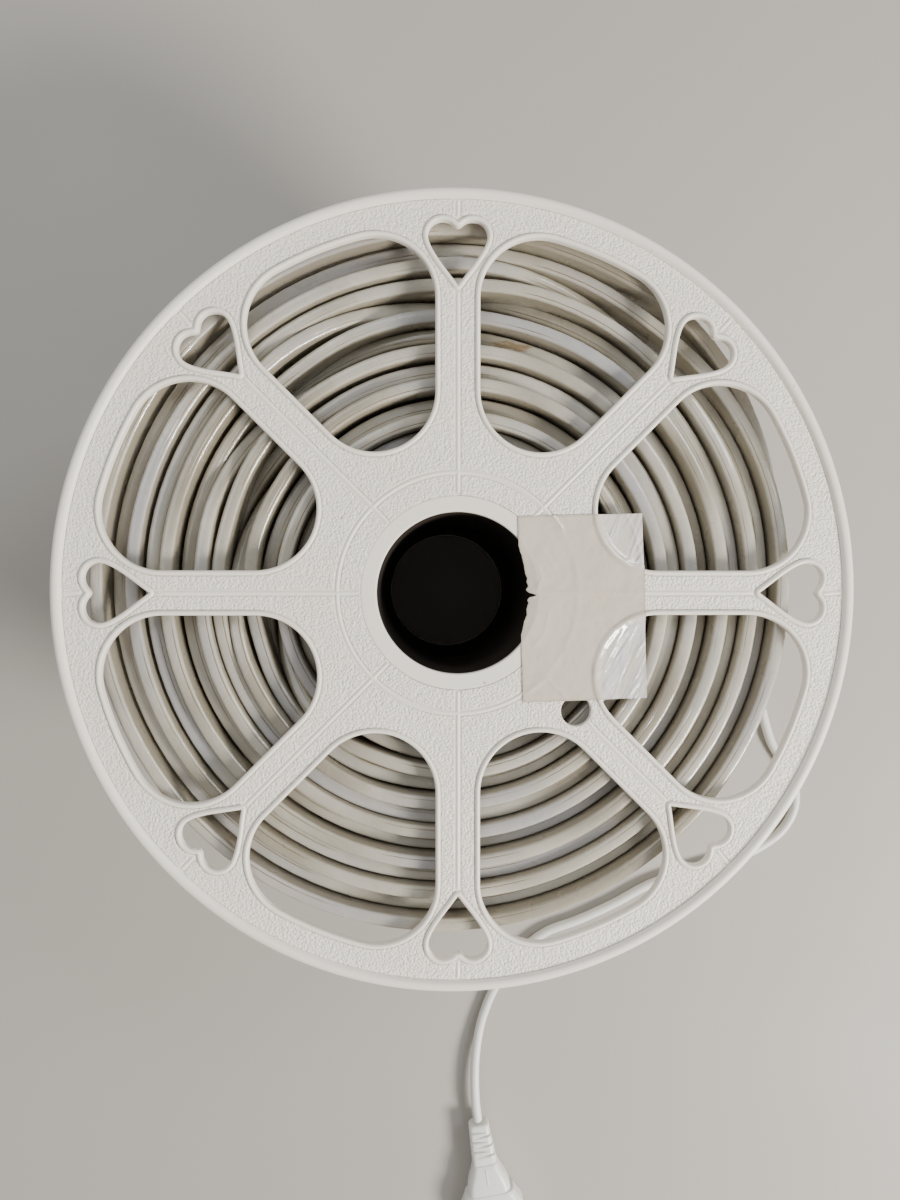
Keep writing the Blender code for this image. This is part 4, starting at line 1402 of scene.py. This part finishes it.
# Feed connector, lead and plug

# Sections of the connector from the strip's end: distance along it, depth and height, in millimetres
CONNECTOR_SECTIONS = (
    (0.0, 6.9, 15.8), (0.25, 7.7, 16.6), (0.9, 8.4, 17.2), (2.0, 8.7, 17.5), (7.6, 8.7, 17.5),
    (8.1, 8.5, 17.3), (8.5, 8.0, 16.7), (10.0, 7.9, 16.6), (10.5, 8.0, 16.7), (10.9, 8.5, 17.2),
    (12.5, 8.6, 17.3),
)
CONNECTOR_GRIP = (
    (0.0, 8.6, 17.3), (0.35, 8.05, 16.75), (1.15, 8.0, 16.7), (1.5, 8.6, 17.3), (2.2, 8.75, 17.45),
)
CONNECTOR_GRIPS = 8
CONNECTOR_GRIP_START = 13.2
CONNECTOR_GRIP_PITCH = 3.0
CONNECTOR_END_SECTIONS = (
    (38.2, 8.6, 17.3), (44.0, 8.5, 17.1), (46.4, 8.1, 16.4), (47.4, 7.5, 15.6), (47.85, 6.8, 14.8),
    (48.0, 6.2, 14.0),
)
CONNECTOR_CORNER = 1.9 * MM

# Sections of the plug from its neck: distance, width, height and corner, in millimetres
PLUG_SECTIONS = (
    (0.0, 12.6, 9.8, 2.6), (0.25, 13.6, 10.8, 2.9), (0.8, 14.3, 11.3, 3.1), (2.5, 15.2, 11.8, 3.3),
    (5.0, 17.3, 12.4, 3.6), (7.5, 19.7, 12.8, 3.9), (10.0, 21.7, 13.0, 4.1), (12.5, 23.0, 13.1, 4.2),
    (15.0, 23.8, 13.1, 4.2), (15.7, 23.9, 13.1, 4.2), (15.85, 23.6, 12.8, 4.1), (16.1, 23.6, 12.8, 4.1),
    (16.25, 26.6, 13.3, 4.2), (16.6, 27.4, 13.6, 4.3), (18.0, 28.4, 13.7, 4.3), (20.5, 31.2, 13.7, 4.3),
    (22.8, 33.9, 13.7, 4.3), (24.2, 34.9, 13.7, 4.3), (26.0, 35.2, 13.7, 4.3), (34.8, 35.3, 13.7, 4.3),
    (36.2, 35.0, 13.4, 4.2), (36.8, 34.4, 12.8, 4.0), (37.0, 33.6, 12.0, 3.8),
)

# The rib along the plug, from its neck: distance and how far it stands out, in millimetres
PLUG_RIB = ((1.6, 0.0), (2.0, 0.30), (3.0, 0.38), (9.0, 0.30), (10.6, 0.16), (11.4, 0.0))
PLUG_RIB_WIDTH = 0.9
PLUG_RIB_DEPTH = 0.3

# A pin from its root: distance from the plug's face and radius, in millimetres. The first spans are sleeved
PIN_SECTIONS = (
    (-PIN_ROOT / MM, 1.85), (9.6, 1.85), (9.9, 1.80), (10.0, 1.93), (10.3, 1.96), (17.6, 1.96),
    (18.3, 1.78), (18.75, 1.40), (18.95, 0.85), (PIN_LENGTH / MM, 0.30),
)
PIN_SIDES = 24
PIN_SLEEVED_RINGS = 3

# Width and height of a relief at the lead's side and at the other end, and its slots, as shares of
# its length from the lead's side, with the side that each cuts
REEL_RELIEF_ENDS = ((7.0 * MM, 7.0 * MM), (8.3 * MM, 8.3 * MM))
PLUG_RELIEF_ENDS = ((11.0 * MM, 9.0 * MM), (13.8 * MM, 11.2 * MM))
PLUG_RELIEF_SLOTS = ((0.16, -1), (0.28, 1), (0.40, -1), (0.52, 1), (0.64, -1), (0.77, 1))
REEL_RELIEF_SLOTS = ((0.16, -1), (0.28, 1), (0.40, -1), (0.52, 1), (0.64, -1), (0.76, 1))
SLOT_HALF_WIDTH = 0.55 * MM
SLOT_DEPTH = 1.1 * MM


def make_connector(look):
    """The feed connector, bent to the outermost turn, with an entry collar and grip ribs."""
    sections = list(CONNECTOR_SECTIONS)
    for k in range(CONNECTOR_GRIPS):
        start = CONNECTOR_GRIP_START + k * CONNECTOR_GRIP_PITCH
        sections += [(start + distance, depth, height) for distance, depth, height in CONNECTOR_GRIP]
    sections += CONNECTOR_END_SECTIONS
    rings = []
    for distance, depth, height in sections:
        angle = CONNECTOR_START_ANGLE - distance * MM / CONNECTOR_RADIUS
        ring = rounded_section(depth * MM, height * MM, CONNECTOR_CORNER, 4)
        reach = CONNECTOR_RADIUS + ring[:, 0]
        level = CONNECTOR_LEVEL + ring[:, 1]
        rings.append(np.column_stack((reach * math.cos(angle), reach * math.sin(angle), level)))
    finish = lead_finish("connector plastic", look, 0.38, 220.0)
    settle(lofted_piece("feed_connector_shell", rings, [finish], 35), "feed_connector")


def relief_rings(length, thin, thick, corner_share, slots, place):
    """Rings of a tapered relief from the lead's side, cut by slots on one side and the other."""
    stops = {0.0: 0.6, 0.5 * MM: 0.15, 1.1 * MM: 0.0, length - 0.3 * MM: 0.0, length: 0.2}
    marks = [(distance, inset * MM, 0) for distance, inset in stops.items()]
    for share, side in slots:
        middle = share * length
        for offset, cut in ((-1.25, 0), (-1.0, 1), (1.0, 1), (1.25, 0)):
            marks.append((middle + offset * SLOT_HALF_WIDTH, 0.0, side * cut))
    rings = []
    for distance, inset, side in sorted(marks):
        share = distance / length
        width = thin[0] + (thick[0] - thin[0]) * share - 2 * inset
        height = thin[1] + (thick[1] - thin[1]) * share - 2 * inset
        ring = rounded_section(width, height, corner_share * min(width, height), 6)
        if side:
            cut = ring[:, 0] * side > 0.04 * width
            inner = rounded_section(width - 2 * SLOT_DEPTH, height - 2 * SLOT_DEPTH,
                                    corner_share * min(width, height) - 0.6 * SLOT_DEPTH, 6)
            ring = np.where(cut[:, None], inner, ring)
        rings.append(ring_at(place, distance, ring))
    return rings


def make_reel_relief(look):
    """The slotted relief through which the lead leaves the connector."""
    turn = CONNECTOR_END_ANGLE
    face = Vector((CONNECTOR_RADIUS * math.cos(turn), CONNECTOR_RADIUS * math.sin(turn), CONNECTOR_LEVEL))
    away = Vector((math.sin(turn), -math.cos(turn), 0.0))
    place = frame_at(face + away * (FIT + RELIEF_LENGTH), -away, UP.cross(-away), UP)
    rings = relief_rings(RELIEF_LENGTH, *REEL_RELIEF_ENDS, 0.48, REEL_RELIEF_SLOTS, place)
    finish = lead_finish("relief plastic", look, 0.42, 260.0)
    settle(lofted_piece("reel_lead_relief", rings, [finish], 40), "cord_strain_relief")


def plug_place(distance):
    """The frame on the plug's centre line, +X along the pins, at a distance past the lead's end."""
    forward = Vector((math.sin(PLUG_TURN), -math.cos(PLUG_TURN), 0.0))
    point = Vector(CORD_ROUTE[-1]) + forward * distance
    return frame_at((point.x, point.y, PLUG_HEIGHT / 2), forward, UP.cross(forward), UP)


def make_plug(look):
    """The flat two-pin plug, its slotted relief and its pins, half sleeved."""
    plastic = lead_finish("plug plastic", look, 0.36, 200.0)
    rings = relief_rings(PLUG_RELIEF_LENGTH, *PLUG_RELIEF_ENDS, 0.26, PLUG_RELIEF_SLOTS, plug_place(FIT))
    relief = lofted_piece("plug_lead_relief", rings, [plastic], 40)
    settle(relief, "plug_strain_relief")

    place = plug_place(FIT + PLUG_RELIEF_LENGTH + FIT)
    points, faces = lofted([
        ring_at(place, distance * MM, rounded_section(width * MM, height * MM, corner * MM, 5))
        for distance, width, height, corner in PLUG_SECTIONS
    ])
    distances, _, heights, _ = np.array(PLUG_SECTIONS).T
    rib_rings = []
    for distance, rise in PLUG_RIB:
        top = np.interp(distance, distances, heights / 2)
        ring = rounded_section(PLUG_RIB_WIDTH * MM, (2 * PLUG_RIB_DEPTH + 2 * rise) * MM, 0.28 * MM, 2)
        rib_rings.append(ring_at(place, distance * MM, ring + (0.0, top * MM - PLUG_RIB_DEPTH * MM)))
    rib_points, rib_faces = lofted(rib_rings)
    faces += [tuple(corner + len(points) for corner in face) for face in rib_faces]
    mesh = mesh_from("plug_shell", np.vstack((points, rib_points)), faces)
    body = new_piece("plug_shell", mesh, [plastic], smooth_angle=38)
    settle(body, "plug_body")

    metal = pin_finish(look)
    sleeve = lead_finish("pin sleeve plastic", look, 0.34, 300.0)
    pins = []
    for side, name in ((-1, "left"), (1, "right")):
        middle = place @ Matrix.Translation((PLUG_LENGTH, side * PIN_SPACING / 2, 0.0))
        rings = [ring_at(middle, distance * MM, circle(radius * MM, PIN_SIDES))
                 for distance, radius in PIN_SECTIONS]
        pin = lofted_piece("plug_pin_" + name + "_turned", rings, [sleeve, metal], 50)
        for polygon in pin.data.polygons:
            polygon.material_index = int(min(polygon.vertices) >= PIN_SLEEVED_RINGS * PIN_SIDES)
        settle(pin, "plug_pin_" + name)
        pins.append(pin)
    return [relief, body] + pins


def make_lead(look, far_pieces):
    """The mains lead along its route. The pieces on its far end are passed in but not used."""
    points = smooth_route(CORD_ROUTE, ROUTE_STEPS)
    curve = bpy.data.curves.new("mains_lead", "CURVE")
    curve.dimensions = "3D"
    curve.bevel_depth = look.lead_diameter / 2
    curve.bevel_resolution = 6
    curve.use_fill_caps = True
    line = curve.splines.new("POLY")
    line.points.add(len(points) - 1)
    for slot, point in zip(line.points, points):
        slot.co = (*point, 1.0)
    line.use_smooth = True
    piece = new_piece("mains_lead", curve, [lead_finish("lead sheath", look, 0.40, 120.0)])
    settle(piece, "power_cord")


# Studio

FLOOR_HALF_WIDTH = 40.0
FLOOR_LEVEL = -0.1 * MM
CAMERA_PLACE = (-0.013, 0.0033, 0.467)
CAMERA_AIM = (0.0324, -0.0192, -1.0)
CAMERA_LENS = 25.0
ROOM_COLOUR = (0.95, 0.94, 0.92, 1.0)
LIGHT_AIM = (0.0, 0.0, 0.1)

# Each light's name, place, size in metres, power setting and colour
LIGHTS = (
    ("key light", (1.15, -0.75, 0.95), 0.40, "key_power", (1.0, 0.96, 0.90)),
    ("fill light", (-1.0, 0.8, 1.4), 1.2, "fill_power", (0.96, 0.98, 1.0)),
    ("side light", (1.2, 0.8, 1.5), 0.5, "fill_power", (0.90, 0.95, 1.0)),
)


def add_light(name, place, size, power, colour):
    """A square soft light that faces the reel."""
    light = bpy.data.lights.new(name, "AREA")
    light.shape = "SQUARE"
    light.size = size
    light.energy = power
    light.color = colour
    made = bpy.data.objects.new(name, light)
    made.location = place
    made.rotation_euler = (Vector(LIGHT_AIM) - Vector(place)).to_track_quat("-Z", "Y").to_euler()
    bpy.context.scene.collection.objects.link(made)


def make_studio(look):
    """A plain pale floor, soft lights and the camera above the reel."""
    corners = [(x * FLOOR_HALF_WIDTH, y * FLOOR_HALF_WIDTH, FLOOR_LEVEL)
               for x, y in ((-1, -1), (1, -1), (1, 1), (-1, 1))]
    mesh = mesh_from("floor", corners, [(0, 1, 2, 3)], outwards=False)
    new_piece("floor", mesh, [floor_finish(look)])
    for name, place, size, power, colour in LIGHTS:
        add_light(name, place, size, getattr(look, power), colour)
    world = bpy.context.scene.world or bpy.data.worlds.new("studio")
    bpy.context.scene.world = world
    world.use_nodes = True
    background = world.node_tree.nodes.get("Background") or world.node_tree.nodes.new("ShaderNodeBackground")
    set_values(background, {"Color": ROOM_COLOUR, "Strength": look.room_light})

    camera = bpy.data.cameras.new("camera")
    camera.lens = CAMERA_LENS
    camera.sensor_width = 36.0
    camera.sensor_fit = "AUTO"
    camera.clip_start = 0.01
    made = bpy.data.objects.new("camera", camera)
    back = -Vector(CAMERA_AIM).normalized()
    right = Vector((0.0, 1.0, 0.0)).cross(back).normalized()
    made.matrix_world = frame_at(CAMERA_PLACE, right, back.cross(right), back)
    bpy.context.scene.collection.objects.link(made)
    bpy.context.scene.camera = made


# Add-on


def colour_property(name, description, default):
    """A colour that a user may change."""
    return FloatVectorProperty(name=name, description=description, subtype="COLOR", size=3, min=0.0, max=1.0,
                               default=default)


def length_property(name, description, default):
    """A length that a user may change, in metres."""
    return FloatProperty(name=name, description=description, unit="LENGTH", subtype="DISTANCE", precision=5,
                         min=0.0, default=default)


class ReelLook(bpy.types.PropertyGroup):
    """Finishes of the flanges and the core."""
    plastic_colour: colour_property("Plastic colour", "Colour of the flanges", (0.88, 0.825, 0.735))
    aged_colour: colour_property("Aged colour", "Where the flanges have yellowed", (0.80, 0.73, 0.61))
    core_colour: colour_property("Core colour", "Colour of the tube and drum", (0.022, 0.016, 0.012))
    grain_size: length_property("Grain size", "Breadth of one cell of the leather grain", 0.00095)
    grain_depth: length_property("Grain depth", "Depth of the leather grain", 0.00046)


class StripLook(bpy.types.PropertyGroup):
    """Section, winding and finish of the strip."""
    strip_width: length_property("Width", "Width of the strip", 0.0148)
    strip_thickness: length_property("Thickness", "Thickness of the strip", 0.0053)
    strip_corner: length_property("Corner radius", "Rounding of the strip's corners", 0.0012)
    layer_pitch: length_property("Layer pitch", "Distance between layers", 0.00642)
    lean: length_property("Lean", "How far the outermost layer is off the axis", 0.0050)
    lean_angle: FloatProperty(name="Lean angle", description="Direction in which the winding leans",
                              unit="ROTATION", subtype="ANGLE", default=math.radians(135))
    chip_pitch: length_property("Chip pitch", "Distance between light chips", 0.00833)
    sleeve_colour: colour_property("Sleeve colour", "Colour of the sleeve", (0.50, 0.47, 0.40))
    sleeve_shade: colour_property("Sleeve shade", "Darker tone of the sleeve", (0.40, 0.37, 0.30))
    cool_colour: colour_property("Cool colour", "Tone of the turns that look blue", (0.37, 0.36, 0.365))
    # Painted shade: a dark taupe on the face that looks in and on some rows, standing for shade between the
    # turns.
    painted_shade_colour: colour_property("Painted shade colour", "Colour of the face that looks in", (0.23, 0.20, 0.145))
    seam_colour: colour_property("Seam colour", "Colour of the seams and of dried glue", (0.23, 0.16, 0.075))
    chip_colour: colour_property("Chip colour", "Colour of the phosphor", (0.82, 0.62, 0.12))


class StickerLook(bpy.types.PropertyGroup):
    """Finish of the bare film."""
    film_colour: colour_property("Film colour", "Colour of the film", (0.65, 0.58, 0.48))
    film_aged_colour: colour_property("Aged colour", "Where the film has yellowed", (0.59, 0.50, 0.385))
    # Painted sheen of the film where it hangs over an opening.
    film_sheen_colour: colour_property("Painted sheen over openings", "Where the film hangs over an opening",
                                     (0.74, 0.72, 0.745))


class LeadLook(bpy.types.PropertyGroup):
    """Finishes of the connector, the lead and the plug."""
    lead_diameter: length_property("Lead diameter", "Diameter of the lead", 0.005)
    lead_colour: colour_property("Lead colour", "Colour of the lead and its mouldings", (0.76, 0.75, 0.72))
    lead_aged_colour: colour_property("Aged colour", "Where the lead has yellowed", (0.66, 0.63, 0.56))
    metal_colour: colour_property("Pin colour", "Colour of the pins' metal", (0.72, 0.70, 0.66))


class StudioLook(bpy.types.PropertyGroup):
    """Floor and lights."""
    floor_colour: colour_property("Floor colour", "Colour of the floor", (0.40, 0.375, 0.34))
    key_power: FloatProperty(name="Key light", description="Power of the main light", unit="POWER",
                             default=48.0)
    fill_power: FloatProperty(name="Fill light", description="Power of the fill and side lights",
                              unit="POWER", default=13.0)
    room_light: FloatProperty(name="Room light", description="Strength of the light all round", default=0.36)


class STRIPLIGHT_OT_flanges(bpy.types.Operator):
    """Add both flanges of the reel"""
    bl_idname = "strip_light.flanges"
    bl_label = "Flanges"

    def execute(self, context):
        make_flanges(context.scene.reel_look)
        return {"FINISHED"}


class STRIPLIGHT_OT_core(bpy.types.Operator):
    """Add the reel's dark core"""
    bl_idname = "strip_light.core"
    bl_label = "Core"

    def execute(self, context):
        make_core(context.scene.reel_look)
        return {"FINISHED"}


class STRIPLIGHT_OT_winding(bpy.types.Operator):
    """Add the wound strip"""
    bl_idname = "strip_light.winding"
    bl_label = "Wound strip"

    def execute(self, context):
        make_winding(context.scene.strip_look)
        return {"FINISHED"}


class STRIPLIGHT_OT_sticker(bpy.types.Operator):
    """Add the bare sticker"""
    bl_idname = "strip_light.sticker"
    bl_label = "Sticker"

    def execute(self, context):
        make_sticker(context.scene.sticker_look)
        return {"FINISHED"}


class STRIPLIGHT_OT_lead(bpy.types.Operator):
    """Add the feed connector, the lead and the plug"""
    bl_idname = "strip_light.lead"
    bl_label = "Connector, lead and plug"

    def execute(self, context):
        look = context.scene.lead_look
        make_connector(look)
        make_reel_relief(look)
        make_lead(look, make_plug(look))
        return {"FINISHED"}


class STRIPLIGHT_OT_studio(bpy.types.Operator):
    """Add the floor, the lights and the camera"""
    bl_idname = "strip_light.studio"
    bl_label = "Studio"

    def execute(self, context):
        make_studio(context.scene.studio_look)
        return {"FINISHED"}


LOOKS = {
    "reel_look": ReelLook,
    "strip_look": StripLook,
    "sticker_look": StickerLook,
    "lead_look": LeadLook,
    "studio_look": StudioLook,
}
OPERATORS = (
    STRIPLIGHT_OT_studio,
    STRIPLIGHT_OT_lead,
    STRIPLIGHT_OT_flanges,
    STRIPLIGHT_OT_core,
    STRIPLIGHT_OT_winding,
    STRIPLIGHT_OT_sticker,
)


class STRIPLIGHT_PT_pieces(bpy.types.Panel):
    """Lists the pieces of the reel and their sizes and colours"""
    bl_idname = "STRIPLIGHT_PT_pieces"
    bl_label = "Strip Light"
    bl_space_type = "VIEW_3D"
    bl_region_type = "UI"
    bl_category = "Strip Light"

    def draw(self, context):
        for operator in OPERATORS:
            self.layout.operator(operator.bl_idname)
        for name in LOOKS:
            box = self.layout.box()
            look = getattr(context.scene, name)
            for key in look.bl_rna.properties.keys():
                if key not in {"rna_type", "name"}:
                    box.prop(look, key)


def register():
    """Registers the looks, the operators and the panel."""
    for name, look in LOOKS.items():
        bpy.utils.register_class(look)
        setattr(bpy.types.Scene, name, PointerProperty(type=look))
    for operator in OPERATORS:
        bpy.utils.register_class(operator)
    bpy.utils.register_class(STRIPLIGHT_PT_pieces)


def unregister():
    """Removes what register added."""
    bpy.utils.unregister_class(STRIPLIGHT_PT_pieces)
    for operator in reversed(OPERATORS):
        bpy.utils.unregister_class(operator)
    for name, look in reversed(LOOKS.items()):
        delattr(bpy.types.Scene, name)
        bpy.utils.unregister_class(look)


def main():
    """Registers the add-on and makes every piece."""
    register()
    for operator in OPERATORS:
        group, name = operator.bl_idname.split(".")
        getattr(getattr(bpy.ops, group), name)()


if __name__ == "__main__":
    main()
